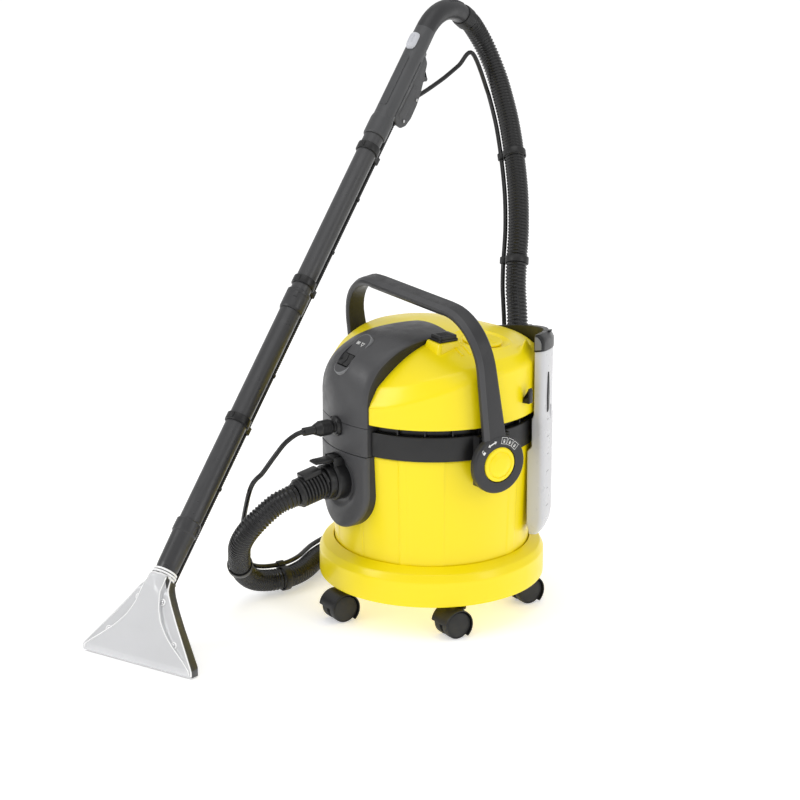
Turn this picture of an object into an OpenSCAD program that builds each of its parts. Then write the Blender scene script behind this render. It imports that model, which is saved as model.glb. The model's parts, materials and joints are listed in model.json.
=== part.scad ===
/* [Machine] */
// Radius of the chassis ring
ring_r = 190; // [186:1:194]
// Height of the ring's foot above the floor
ring_z = 55; // [54:1:57]
// Outer radius of the container at its floor
drum_low_r = 162; // [160:1:163]
// Outer radius of the container at its rim
drum_high_r = 171; // [170:0.5:171.5]
// Height of the container's rim, where the head lifts off
split_z = 300; // [298:1:302]
// Outer radius of the black band
band_r = 176; // [175:0.5:177]
// Outer radius of the head
head_r = 181; // [179:1:182]
// Height of the head's lower edge
head_z = 355; // [353:1:357]
// Radius of the front column's face
column_r = 187; // [185:1:189]
// Half of the front column's width
column_half = 68; // [64:1:70]
// Number of ribs in the vent gap
vent_ribs = 24; // [16:2:30]

/* [Handle] */
// Height of the handle's pivot
pivot_z = 297; // [295:1:299]
// Radius of the handle's bosses
boss_r = 49; // [46:1:50]
// Half of the handle's outer width
bail_half = 204; // [202:1:206]
// Height of the handle's arch above its pivot
bail_rise = 252; // [248:1:256]
// Forward lean of the carrying handle at rest, in degrees
bail_lean = 8; // [4:1:9]

/* [Tank] */
// Outer radius of the fresh water tank
tank_r = 203; // [201:1:204]
// Height of the tank's foot
tank_low_z = 140; // [136:1:144]
// Height of the tank's rim at its middle, under its cap
rim_z = 425; // [420:1:430]
// Slope of the tank's rim across the machine, in degrees
rim_slope = 12; // [8:1:12]
// Height of the tank's cap above the rim
cap_height = 30; // [26:1:32]
// Wall thickness of the tank
tank_wall = 3; // [2:0.5:4]

/* [Casters] */
// Number of casters
caster_count = 5; // [5:1:5]
// Radius of the circle of caster stems
caster_circle = 170; // [168:1:171]
// Radius of a caster wheel
wheel_r = 23; // [22:0.5:23.5]
// Distance from a caster's stem to its axle
caster_trail = 14; // [12:1:15]

/* [Wand] */
// Width of the floor nozzle
nozzle_w = 220; // [200:5:230]
// Lean of the suction tubes from vertical, in degrees
wand_lean = 45; // [45:1:45]
// Outer radius of the upper suction tube
tube_r = 17.5; // [17:0.5:17.5]
// Distance along the tubes from the nozzle's collar to the neck's end
neck_end = 103; // [98:1:108]
// Distance to the joint of the two tubes
joint_end = 548; // [540:1:555]
// Distance to the foot of the handle shell
tube_end = 871; // [865:1:875]
// Distance to the end of the straight grip
grip_end = 1103; // [1098:1:1106]
// Radius of the bend above the grip
bend_r = 100; // [95:1:105]

/* [Hoses] */
// Outer diameter of the suction hose
hose_d = 38; // [36:1:38]
// Outer diameter of the spray hose
spray_d = 8; // [7:0.5:8]

/* [Hidden] */
$fn = 96;
eps = 0.01;
fit = 0.3;
run = 0.05;
// Place of the machine's own axis, so that the whole part is centred over the origin
axis_x = 113;
axis_y = 120;
// Middle of the floor nozzle's lip, from the machine's axis
lip_x = -15;
lip_y = -549;
lip_turn = 24;
collar_y = 63;
collar_z = 126;
lip_round = 3;
caster_step = 360 / caster_count;
split_gap = 0.5;
column_angle = asin(column_half / column_r);
inlet_z = 247;
latch_z = 285.5;
coupling_z = 340;
gland_z = 385;
gland_length = 24;
coupling_r = 9;
cuff_tilt = 12;
jet_lean = 33;
pipe_drop = 33.5;
pivot_y = -5;
tank_span = 120;
top_z = 499;
back_slope = 13;
hull_fn = 40;

// Middle line of the suction hose from its cuff at the inlet to the cuff on the grip
hose_route = [
    [0, -268.2, 235], [0, -282, 232.1], [-5, -302, 223], [-13, -328, 201], [-27, -343, 177],
    [-49, -344, 149], [-80, -329, 118], [-112, -310, 86], [-140, -284, 55], [-157, -256, 34],
    [-162, -227, 25], [-160, -198, 24], [-166, -170, 24], [-182, -140, 24], [-212, -101, 24],
    [-237, -52, 24], [-247, -8, 24], [-254, 68, 24], [-250, 140, 27], [-240, 184, 40],
    [-226, 222, 68], [-208, 256, 114], [-190, 280, 182], [-176, 292, 262], [-170, 297, 345],
    [-174, 299, 412], [-189, 306, 462], [-206, 319, 507], [-228, 338, 555], [-263, 361, 614],
    [-306, 382, 676], [-347, 398, 731], [-383, 406, 780], [-400, 407, 806], [-412, 404, 829],
    [-420, 398, 850], [-424, 389, 869], [-425, 378, 886], [-421.8, 364.8, 900.8], [-416.8, 353.4, 907.9]];

// ---------- places ----------

module machine() translate([axis_x, axis_y, 0]) children();

module wand() machine() translate([lip_x, lip_y, 0]) rotate([0, 0, lip_turn]) children();

// Along the tubes: +Z runs up the wand from the collar, +Y is its underside
module along(d) wand() translate([0, collar_y, collar_z]) rotate([-wand_lean, 0, 0])
    translate([0, 0, d]) children();

module fan_frame() rotate([-atan(collar_y / collar_z), 0, 0]) children();

module tube(r_out, r_in, h) difference() {
    cylinder(r = r_out, h = h);
    translate([0, 0, -1]) cylinder(r = r_in, h = h + 2);
}

module sector(angle, from, points) rotate([0, 0, from])
    rotate_extrude(angle = angle) polygon(points);

module drum_core(grow) translate([0, 0, 70])
    cylinder(r1 = drum_low_r + grow, r2 = drum_high_r + grow, h = split_z - 70 + eps);

function drum_at(z) = drum_low_r + (drum_high_r - drum_low_r) * (z - 70) / (split_z - 70);

// ---------- swept cords ----------

function unit(v) = v / norm(v);
function spline(p, i, t) = let (n = len(p) - 1, a = p[max(i - 1, 0)], b = p[i], c = p[min(i + 1, n)],
    d = p[min(i + 2, n)])
    0.5 * (2 * b + (c - a) * t + (2 * a - 5 * b + 4 * c - d) * t * t + (3 * b - 3 * c + d - a) * t * t * t);
function smooth(p, k) = [for (i = [0 : len(p) - 2]) for (j = [0 : k - 1]) spline(p, i, j / k), p[len(p) - 1]];
function heading(p, i) = unit(p[min(i + 1, len(p) - 1)] - p[max(i - 1, 0)]);
function carry(n, t) = unit(n - (n * t) * t);
function normals(p, n0) = [for (i = 0, n = carry(n0, heading(p, 0)); i < len(p);
    i = i + 1, n = i < len(p) ? carry(n, heading(p, i)) : n) n];

module sweep(p, r, sides) {
    n = normals(p, [1, 0, 0]);
    rings = [for (i = [0 : len(p) - 1]) let (t = heading(p, i), b = cross(t, n[i]))
        for (s = [0 : sides - 1]) p[i] + r * (cos(360 * s / sides) * n[i] + sin(360 * s / sides) * b)];
    walls = [for (i = [0 : len(p) - 2]) for (s = [0 : sides - 1]) let (a = i * sides, e = (s + 1) % sides)
        [a + s, a + sides + s, a + sides + e, a + e]];
    last = (len(p) - 1) * sides;
    polyhedron(rings, concat([[for (s = [0 : sides - 1]) s]], walls,
        [[for (s = [sides - 1 : -1 : 0]) last + s]]), convexity = 10);
}

// ---------- chassis ----------

module chassis_ring() color("yellow") {
    rotate_extrude() polygon([[149, 60], [ring_r - 8, 60], [ring_r - 5, ring_z], [ring_r, ring_z],
        [ring_r, 98], [ring_r - 7, 110], [drum_at(118) + 3.5, 118], [drum_at(118) + 0.2, 118],
        [drum_at(114) + 0.4, 114], [ring_r - 10, 106], [ring_r - 4, 96], [ring_r - 4, 65],
        [149, 65]]);
    for (i = [0 : caster_count - 1]) rotate([0, 0, i * caster_step]) translate([0, -caster_circle, 51])
        tube(9, 5 + run, 9 + eps);
}

module container() color("yellow") difference() {
    rotate_extrude() polygon([[0, 65], [150, 65], [drum_low_r, 70 + 6], [drum_high_r, split_z],
        [drum_high_r - 3, split_z], [drum_low_r - 3, 78], [148, 69], [0, 69]]);
    translate([0, 0, inlet_z]) rotate([90, 0, 0]) cylinder(r = 20.5, h = 300);
}

module inlet_housing() color("dimgray") difference() {
    union() {
        intersection() {
            translate([0, -140, split_z]) rotate([90, 0, 0]) linear_extrude(60) union() {
                translate([-column_half, -66]) square([2 * column_half, 66 - split_gap]);
                translate([0, -66]) circle(column_half);
            }
            cylinder(r = column_r, h = split_z);
        }
        translate([0, -184, inlet_z]) rotate([90, 0, 0]) cylinder(r = 32, h = 18);
        for (s = [-1, 1]) translate([s * 13.5 - 2, -202, latch_z - 16]) cube([4, 16, 20]);
        translate([-14, -198, latch_z]) rotate([0, 90, 0]) cylinder(r = 2, h = 28);
    }
    drum_core(0.1);
    translate([0, 0, inlet_z]) rotate([90, 0, 0]) cylinder(r = 20.5, h = 300);
}

module hose_cuff() color("black") difference() {
    union() {
        translate([0, -160, inlet_z]) rotate([90, 0, 0]) cylinder(r = 20.45, h = 44);
        translate([0, -202.2, inlet_z]) rotate([90, 0, 0]) cylinder(r = 29, h = 12);
        translate([0, -212, inlet_z]) rotate([90 + cuff_tilt, 0, 0]) cylinder(r = 24, h = 55);
    }
    translate([0, -150, inlet_z]) rotate([90, 0, 0]) cylinder(r = 15, h = 70);
    translate([0, -212, inlet_z]) rotate([90 + cuff_tilt, 0, 0]) translate([0, 0, -5])
        cylinder(r = 16, h = 80);
}

module cuff_latch() color("black") difference() {
    union() {
        translate([-11, -234, latch_z - 4.5]) cube([22, 40, 5]);
        translate([-11, -198, latch_z]) rotate([0, 90, 0]) cylinder(r = 4.5, h = 22);
    }
    translate([-20, -198, latch_z]) rotate([0, 90, 0]) cylinder(r = 2 + run, h = 40);
}

// ---------- hoses ----------

hose_parts = 2;
function hose_path() = smooth(hose_route, hose_parts);
function side_path(p, off) = let (n = normals(p, [1, 0, 0])) [for (i = [0 : len(p) - 1]) p[i] + off * n[i]];

module suction_hose() color("black") sweep(hose_path(), hose_d / 2, 10);

// ---------- casters ----------

module caster(i) rotate([0, 0, i * caster_step]) translate([0, -caster_circle, 0])
    rotate([0, 0, -i * caster_step]) children();

module caster_hood(i) color("black") caster(i) {
    translate([0, 0, 44]) cylinder(r = 5, h = 15.5);
    difference() {
        union() {
            translate([-3, -caster_trail, wheel_r]) rotate([0, 90, 0]) cylinder(r = 12, h = 6);
            translate([-22, -caster_trail, wheel_r]) rotate([0, 90, 0]) cylinder(r = wheel_r + 3.5, h = 44);
            translate([0, 0, 40]) cylinder(r = 10, h = 8);
        }
        for (s = [-1, 1]) translate([s * 13.5 - 10.5, -caster_trail, wheel_r]) rotate([0, 90, 0])
            cylinder(r = wheel_r + 1.5, h = 21);
        translate([-30, -caster_trail - 40, -20]) cube([27, 90, 20 + wheel_r + 2]);
        translate([3, -caster_trail - 40, -20]) cube([27, 90, 20 + wheel_r + 2]);
        translate([-4, -caster_trail - 40, -20]) cube([8, 90, 30]);
        translate([-40, -caster_trail, wheel_r]) rotate([0, 90, 0]) cylinder(r = 3 + run, h = 80);
    }
}

module caster_wheels(i) color("black") caster(i) translate([0, -caster_trail, wheel_r]) rotate([0, 90, 0]) {
    translate([0, 0, -20]) cylinder(r = 3, h = 40);
    for (s = [-1, 1]) translate([0, 0, s * 12.5 - 8.5]) difference() {
        cylinder(r = wheel_r, h = 17);
        translate([0, 0, s > 0 ? 14 : -1]) tube(wheel_r - 4, 7, 4);
    }
}

// ---------- head ----------

module band_ring() color("black") {
    rotate_extrude() polygon([[band_r - 8, split_z + split_gap], [band_r, split_z + split_gap],
        [band_r, head_z - 12], [band_r - 8, head_z - 12]]);
    rotate_extrude() polygon([[band_r - 16, split_z + 8], [band_r - 8 + eps, split_z + 8],
        [band_r - 8 + eps, split_z + 12], [band_r - 13, split_z + 12], [band_r - 13, head_z],
        [band_r - 16, head_z]]);
    for (i = [0 : vent_ribs - 1]) rotate([0, 0, (i + 0.5) * 360 / vent_ribs])
        translate([band_r - 14, -1.25, head_z - 13]) cube([11, 2.5, 13]);
}

// Pads on the band that carry the handle, each with its hollow stud
module handle_pivots() color("black") for (s = [-1, 1]) difference() {
    union() {
        intersection() {
            translate([s > 0 ? 150 : -188.5, pivot_y - 30, pivot_z - 38]) cube([38.5, 60, 84]);
            translate([0, 0, pivot_z - 38]) cylinder(r = 192, h = 84);
        }
        translate([s * 186, pivot_y, pivot_z]) rotate([0, s * 90, 0]) cylinder(r = 14, h = 12);
    }
    translate([0, 0, pivot_z - 60]) cylinder(r = band_r + run, h = 120);
    translate([s * 170, pivot_y, pivot_z]) rotate([0, s * 90, 0]) cylinder(r = 4, h = 40);
}

// Solid form of the dome, set in by a given amount
module dome(inset) intersection() {
    hull() {
        translate([0, 0, head_z - (inset > 0 ? 1 : 0)]) cylinder(r = head_r - inset, h = 1, $fn = 64);
        translate([0, 0, 428 - inset]) rotate([13.5, 0, 0]) cylinder(r = head_r - inset, h = 0.5, $fn = 64);
        translate([0, 0, 446 - inset]) rotate([10.5, 0, 0]) cylinder(r = head_r - 15 - inset, h = 0.5, $fn = 64);
        translate([0, 22, 477 - inset]) cylinder(r = 105 - inset, h = 1, $fn = 64);
    }
    // The top falls towards the back
    translate([0, 60, 478 - inset]) rotate([-back_slope, 0, 0]) translate([-300, -500, -300])
        cube([600, 1000, 300]);
}

module head_cover() color("yellow") difference() {
    dome(0);
    dome(3.5);
    // Recess for the round lid over the motor filter
    translate([85, 40, 476.5]) cylinder(r = 38, h = 20);
    // Hole for the cord gland
    translate([-head_r - 10, 30, gland_z]) rotate([0, 90, 0]) cylinder(r = 7, h = 30);
}

module control_panel() color("dimgray") difference() {
    intersection() {
        translate([column_half, 0, 0]) rotate([90, 0, -90]) linear_extrude(2 * column_half)
            polygon([[column_r + 1, 349], [column_r + 1, 404], [183, 426], [168, 446], [140, 464],
                [104, 477], [68, 482.5], [20, 484], [2, 482], [2, 460], [120, 420], [160, 349]]);
        cylinder(r = column_r, h = 600);
    }
    dome(-fit);
    translate([0, 0, head_z - 8]) cylinder(r = band_r + fit, h = 12);
    translate([0, -150, coupling_z]) rotate([90, 0, 0]) cylinder(r = 12.5, h = 60);
    switch_bay();
}

// Place of the switches on the sloping panel
module switch_place(d) translate([0, -163, 452.5]) rotate([40, 0, 0]) translate([0, d, 0]) children();

module switch_bay() switch_place(0) translate([0, 0, -9]) {
    translate([0, -14, 0]) cylinder(r = 17, h = 30);
    translate([0, 30, 0]) cylinder(r = 17, h = 30);
    translate([-17, -14, 0]) cube([34, 44, 30]);
}

module rocker(x) color("black") switch_place(-6) translate([x, 0, -3]) difference() {
    union() {
        translate([-7, -11, 0]) cube([14, 22, 7]);
        translate([-7, 0, 0]) rotate([0, 90, 0]) cylinder(r = 4, h = 14);
    }
    translate([-8, 0, 0]) rotate([0, 90, 0]) cylinder(r = 1.5 + run, h = 16);
}

module coupling_panel() color("dimgray") difference() {
    translate([0, 0, split_z + split_gap]) rotate([0, 0, -90 - column_angle])
        rotate_extrude(angle = 2 * column_angle)
        polygon([[band_r + 0.1, 0], [column_r, 0], [column_r, 48], [band_r + 0.1, 48]]);
    translate([0, -150, coupling_z]) rotate([90, 0, 0]) cylinder(r = 12.5, h = 60);
}

module coupling_socket() color("black") difference() {
    union() {
        translate([0, -177, coupling_z]) rotate([90, 0, 0]) cylinder(r = 12.4, h = 16);
        translate([0, -188, coupling_z]) rotate([90, 0, 0]) cylinder(r = 7, h = 62);
    }
    translate([0, -176, coupling_z]) rotate([90, 0, 0]) cylinder(r = 2.5, h = 90);
}

module coupling_sleeve() color("black") translate([0, -200, coupling_z]) rotate([90, 0, 0])
    tube(12, 7 + run, 30);

module vacuum_switch() rocker(-7.5);
module spray_switch() rocker(7.5);

module top_block() color("black") {
    translate([69, -46, 478]) cube([24, 32, 5]);
    translate([70.5, -44.5, 483 - eps]) cube([21, 29, 6]);
}

module cord_gland() color("black") translate([-head_r + 17, 30, gland_z]) rotate([0, -90, 0]) difference() {
    union() {
        cylinder(r = 6.95, h = gland_length);
        translate([0, 0, 16.2]) cylinder(r = 9, h = gland_length - 16.2);
    }
    translate([0, 0, -1]) cylinder(r = 4.1, h = 30);
}

module motor() color("silver") {
    translate([0, 30, 320]) cylinder(r = 52, h = 70);
    translate([0, 30, 390]) cylinder(r = 40, h = 35);
    translate([0, 30, 425]) cylinder(r = 6, h = 12);
}

module fan() color("silver") translate([0, 30, 309]) difference() {
    cylinder(r = 50, h = 10);
    translate([0, 0, -1]) cylinder(r = 8, h = 12);
    for (i = [0 : 8]) rotate([0, 0, i * 40]) translate([14, -1.5, 2]) cube([34, 3, 6]);
}

module motor_plate() color("black") difference() {
    translate([0, 0, 302]) cylinder(r = band_r - 16.1, h = 5);
    translate([0, 30, 300]) cylinder(r = 22, h = 10);
}

module pump() color("gray") {
    translate([0, -90, 308]) cylinder(r = 22, h = 40);
    translate([0, -90, 348]) cylinder(r = 16, h = 28);
}

module float_cage() color("white") translate([0, 30, 240]) difference() {
    cylinder(r = 32, h = 62);
    translate([0, 0, 3]) cylinder(r = 29, h = 70);
    for (i = [0 : 5]) rotate([0, 0, i * 60]) translate([20, -5, 8]) cube([20, 10, 44]);
}

module float_valve() color("orange") translate([0, 30, 244]) cylinder(r = 26, h = 26);

module head_seal() color("gray") translate([0, 0, split_z + 0.5])
    tube(band_r - 9, band_r - 15.5, 7);

module carry_handle() color("black") translate([0, pivot_y, pivot_z]) {
    rotate([90 + bail_lean, 0, 0]) translate([0, 0, -20]) linear_extrude(40) difference() {
        bail_outline(bail_half, bail_rise, 75, 32);
        bail_outline(bail_half - 14, bail_rise - 14, 62, 20);
    }
    for (s = [-1, 1]) translate([s * (bail_half - 14.6), 0, 0]) rotate([0, s * 90, 0]) difference() {
        cylinder(r = boss_r, h = 15.4);
        translate([0, 0, -1]) cylinder(r = 14 + run, h = 20);
        translate([0, 0, 8.6]) cylinder(r = 29, h = 20);
    }
}

function corner(x, y, r, from) = [for (a = [0 : 6 : 90]) [x + r * cos(from + a), y + r * sin(from + a)]];

module bail_outline(w, h, r, foot) polygon(concat([[w, foot]], corner(w - r, h - r, r, 0),
    corner(r - w, h - r, r, 90), [[-w, foot]]));

module handle_caps() color("yellow") for (s = [-1, 1])
    translate([s * (bail_half - 5.5), pivot_y, pivot_z]) rotate([0, s * 90, 0]) {
        cylinder(r = 28.8, h = 7.5);
        cylinder(r = 24, h = 10.5);
    }

// ---------- tank ----------

module tank_shell(inset) {
    low = 173 + inset;
    mid = 180.5 + inset;
    high = head_r + 3.5 + inset;
    sector(tank_span - inset * 0.7, 30 + inset * 0.35, [[low + 2, tank_low_z + inset],
        [tank_r - 14 - inset, tank_low_z + inset], [tank_r - inset, tank_low_z + 22],
        [tank_r - inset, 335], [tank_r - 2 - inset, 345], [tank_r - 2 - inset, top_z],
        [high, top_z], [high, 352], [mid, 344], [mid, 296], [low, 288], [low, tank_low_z + 22]]);
}

module below(d) translate([0, 0, rim_z + d]) rotate([0, -rim_slope, 0])
    translate([-300, -300, -400]) cube([600, 600, 400]);

module water_tank() color("lightgray", 0.6) difference() {
    intersection() {
        tank_shell(0);
        below(0);
    }
    intersection() {
        tank_shell(tank_wall);
        below(-tank_wall);
    }
    sector(tank_span - 68, 64, [[head_r + 7, 350], [tank_r - 5.2, 350], [tank_r - 5.2, top_z + 1],
        [head_r + 7, top_z + 1]]);
    translate([0, 183.5, tank_low_z - 5]) cylinder(r = 4, h = 20);
}

module tank_cap() color("black") difference() {
    intersection() {
        sector(tank_span + 1, 29.5, [[head_r + 2.5, 370], [tank_r, 370], [tank_r, top_z], [head_r + 2.5, top_z]]);
        below(cap_height);
    }
    below(fit);
}

module tank_valve() color("black") translate([0, 183.5, tank_low_z - 14]) {
    cylinder(r = 3.9, h = 24);
    translate([0, 0, 8]) cylinder(r = 7, h = 5.8);
}

module cable_hook() color("black") rotate([0, 0, 22]) {
    translate([head_r - 0.1, -5, 380]) cube([14.1, 10, 8]);
    translate([head_r + 10, -5, 380]) cube([4, 10, 26]);
}

// ---------- wand ----------

module fan_form(t) hull() {
    translate([-nozzle_w / 2 + t, lip_round - 11, t > 0 ? -1 : 0])
        cube([nozzle_w - 2 * t, 22 - lip_round - t, 14]);
    translate([-nozzle_w / 2 + t, t - 11, t > 0 ? -1 : lip_round]) cube([nozzle_w - 2 * t, 5, 12]);
    if (t == 0) translate([-nozzle_w / 2, lip_round - 11, lip_round]) rotate([0, 90, 0])
        cylinder(r = lip_round, h = nozzle_w, $fn = 32);
    translate([0, collar_y, collar_z]) rotate([-wand_lean, 0, 0]) translate([0, 0, -2])
        cylinder(r = 18 - t, h = t > 0 ? 6 : 2, $fn = 32);
}

module fan_split(y) fan_frame() translate([-200, y, -60]) cube([400, 100, 300]);

module nozzle_cover() color("lightgray", 0.5) wand() difference() {
    fan_form(0);
    fan_form(2.5);
    fan_split(3);
}

module nozzle_back() color("dimgray") wand() intersection() {
    difference() {
        fan_form(0);
        fan_form(2.5);
    }
    fan_split(3.1);
}

module nozzle_neck() color("dimgray") along(0) {
    translate([0, 0, 0.2]) tube(17.5, 15, neck_end - 0.2);
    translate([0, 0, neck_end - 22]) tube(21, 17.45, 22);
}

module nozzle_screws() color("silver") wand() fan_frame()
    for (s = [-1, 1], p = [[66, -16.95, 40], [24, -17.45, 102]])
    translate([s * p[0], p[1], p[2]]) rotate([90, 0, 0]) cylinder(r = 3.5, h = 2.5);

module spray_jet() color("black") {
    wand() translate([0, 57.2, 67.4]) rotate([-jet_lean, 0, 0]) {
        cylinder(r = 7, h = 10);
        cylinder(r = 4.6, h = 34);
    }
    along(-8) translate([0, pipe_drop, 0]) cylinder(r = 4.6, h = 11.9);
}

module lower_tube() color("black") {
    along(neck_end + 0.1) tube(18.5, 16, joint_end - neck_end - 38);
    along(joint_end - 38) tube(21, tube_r + run, 38);
}

module upper_tube() color("black") along(joint_end - 34) tube(tube_r, 15.5, tube_end - joint_end + 34);

module clip(d, r) along(d) {
    tube(r + 3, r + run, 14);
    translate([-4, r + 2, 0]) cube([8, 8, 14]);
}

module tube_clips() color("black") {
    clip(288, 18.5);
    clip(560, tube_r);
    clip(838, tube_r);
}

module spray_pipe() color("black") along(4) translate([0, pipe_drop, 0]) cylinder(r = 3.5, h = 925);

module handle_shell() color("dimgray") {
    along(tube_end + 0.1) tube(20.5, 15, 40);
    along(tube_end + 40.1) tube(18.5, 15, grip_end - tube_end - 40.2);
}

module grip_bend() color("dimgray") along(grip_end) translate([0, bend_r, 0]) rotate([0, -90, 0])
    rotate([0, 0, -90]) rotate_extrude(angle = 75) translate([bend_r, 0]) difference() {
        circle(17.5);
        circle(14.5);
    }

module grip_cuff() color("black") along(grip_end) translate([0, bend_r, 0]) rotate([-75, 0, 0])
    translate([0, -bend_r, 0.1]) tube(20, 14.5, 26);

module valve_body() color("dimgray") along(930) {
    difference() {
        union() {
            translate([-11, 18.8, 0]) cube([22, 27.2, 120]);
            translate([0, 40, 52]) rotate([-45, 0, 0]) cylinder(r = 5.5, h = 18);
        }
        translate([-8, 30, 82]) cube([16, 30, 60]);
    }
    translate([-11, 38, 88]) rotate([0, 90, 0]) cylinder(r = 1.5, h = 22);
}

module valve_screws() color("silver") along(930) for (z = [18, 60])
    translate([11, 33, z]) rotate([0, 90, 0]) cylinder(r = 2.5, h = 1.5);

module trigger() color("black") along(1014) difference() {
    union() {
        translate([-7, 36, 0]) cube([14, 18, 44]);
        translate([-7.4, 38, 4]) rotate([0, 90, 0]) cylinder(r = 4, h = 14.8);
    }
    translate([-12, 38, 4]) rotate([0, 90, 0]) cylinder(r = 1.5 + run, h = 24);
}

module trigger_lock() color("gray") along(958) translate([-5, 46.1, 0]) cube([10, 4, 14]);

module air_slider() color("gray") along(1050) translate([-8, -24, 0]) cube([16, 5.3, 34]);

// ---------- spray hose and its clips ----------

coupling_end = [0, -250, coupling_z];
valve_end = [-342.1, 185.5, 792.1];
spray_side = hose_d / 2 + spray_d / 2 + 1.5;
first_clip = 12;
last_clip = 64;
clip_places = [14, 22, 46, 54, 60];

function spray_along() = side_path(hose_path(), -spray_side);
function pick(p, a, b) = [for (i = [a : b]) p[i]];
function short_of(p, i, gap) = p[i] + gap * unit(p[i - 1] - p[i]);

module spray_hose_lower() color("black") sweep(smooth(concat(
    [coupling_end, [0, -264, 338], [-2, -284, 326], [-5, -302, 306], [-12, -320, 280], [-24, -338, 250]],
    [short_of(spray_along(), first_clip, 1.6)]), 2), spray_d / 2, 8);

module spray_hose_upper() color("black") sweep(concat(pick(spray_along(), first_clip, last_clip),
    smooth([[-398, 352, 850], [-390, 316, 832], [-376, 276, 816], [-364, 240, 804],
    [-354, 214, 797], [-345.5, 193.3, 792.5], valve_end], 2)), spray_d / 2, 8);

module hose_clips() color("black") for (i = clip_places)
    let (p = hose_path(), t = heading(p, i))
    translate(p[i]) rotate([0, acos(t[2]), atan2(t[1], t[0])]) translate([0, 0, -6])
        tube(hose_d / 2 + 2.5, hose_d / 2 + 0.1, 12);

// ---------- what is drawn ----------

machine() chassis_ring();
machine() container();
machine() inlet_housing();
machine() hose_cuff();
machine() cuff_latch();
machine() suction_hose();
machine() spray_hose_lower();
machine() spray_hose_upper();
machine() hose_clips();
for (i = [0 : caster_count - 1]) {
    machine() caster_hood(i);
    machine() caster_wheels(i);
}
machine() band_ring();
machine() handle_pivots();
machine() head_cover();
machine() control_panel();
machine() coupling_panel();
machine() coupling_socket();
machine() coupling_sleeve();
machine() vacuum_switch();
machine() spray_switch();
machine() top_block();
machine() cord_gland();
machine() motor();
machine() fan();
machine() motor_plate();
machine() pump();
machine() float_cage();
machine() float_valve();
machine() head_seal();
machine() carry_handle();
machine() handle_caps();
machine() water_tank();
machine() tank_cap();
machine() tank_valve();
machine() cable_hook();
nozzle_cover();
nozzle_back();
nozzle_neck();
nozzle_screws();
spray_jet();
lower_tube();
upper_tube();
tube_clips();
spray_pipe();
handle_shell();
grip_bend();
grip_cuff();
valve_body();
valve_screws();
trigger();
trigger_lock();
air_slider();
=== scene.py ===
import json
from math import acos, atan, atan2, cos, degrees, exp, hypot, pi, radians, sin, sqrt, tan, tau
import bmesh
import bpy
from mathutils import Matrix, Vector


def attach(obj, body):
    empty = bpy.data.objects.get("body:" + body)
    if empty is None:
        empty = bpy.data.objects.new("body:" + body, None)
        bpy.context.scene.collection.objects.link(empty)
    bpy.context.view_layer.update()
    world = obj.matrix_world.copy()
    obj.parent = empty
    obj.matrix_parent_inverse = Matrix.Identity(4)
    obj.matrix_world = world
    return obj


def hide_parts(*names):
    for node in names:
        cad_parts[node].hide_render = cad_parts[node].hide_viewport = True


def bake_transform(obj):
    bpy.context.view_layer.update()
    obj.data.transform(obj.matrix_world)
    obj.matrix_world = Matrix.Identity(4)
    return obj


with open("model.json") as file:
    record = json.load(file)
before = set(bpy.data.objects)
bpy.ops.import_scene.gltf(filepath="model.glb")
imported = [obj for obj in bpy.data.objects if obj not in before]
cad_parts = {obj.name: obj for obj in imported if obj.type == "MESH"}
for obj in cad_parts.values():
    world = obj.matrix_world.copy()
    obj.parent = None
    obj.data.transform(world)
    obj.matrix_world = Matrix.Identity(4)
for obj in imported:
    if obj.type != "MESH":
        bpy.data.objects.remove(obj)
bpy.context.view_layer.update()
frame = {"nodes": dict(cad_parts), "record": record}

RAD = radians

# ---------- places: millimetres of the machine, of the wand and along its tubes, to metres ----------

AXIS = Vector((0.113, 0.120, 0))
LIP = Vector((-15, -549, 0))
LIP_TURN = RAD(24)
COLLAR = (63, 126)
PIPE_DROP = 33.5
INLET_Z = 247
Q = sqrt(0.5)


def m(p):
    return AXIS + Vector(p) / 1000


def w(p):
    x, s, z = p
    c, n = cos(LIP_TURN), sin(LIP_TURN)
    return m((LIP[0] + x * c - s * n, LIP[1] + x * n + s * c, z))


def a(p):
    x, y, d = p
    return w((x, COLLAR[0] + Q * d + Q * y, COLLAR[1] + Q * d - Q * y))


def turned(place, origin, rot=Matrix.Identity(3)):
    """A place whose local axes are turned by the matrix rot and start at origin."""
    return lambda p: place(Vector(origin) + rot @ Vector(p))


def rot_x(deg):
    return Matrix.Rotation(RAD(deg), 3, "X")


def rot_y(deg):
    return Matrix.Rotation(RAD(deg), 3, "Y")


def rot_z(deg):
    return Matrix.Rotation(RAD(deg), 3, "Z")


def polar(r, deg):
    return r * cos(RAD(deg)), r * sin(RAD(deg))


SIDEWAYS = Matrix(((0, 0, 1), (1, 0, 0), (0, 1, 0)))


# ---------- materials ----------

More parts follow.
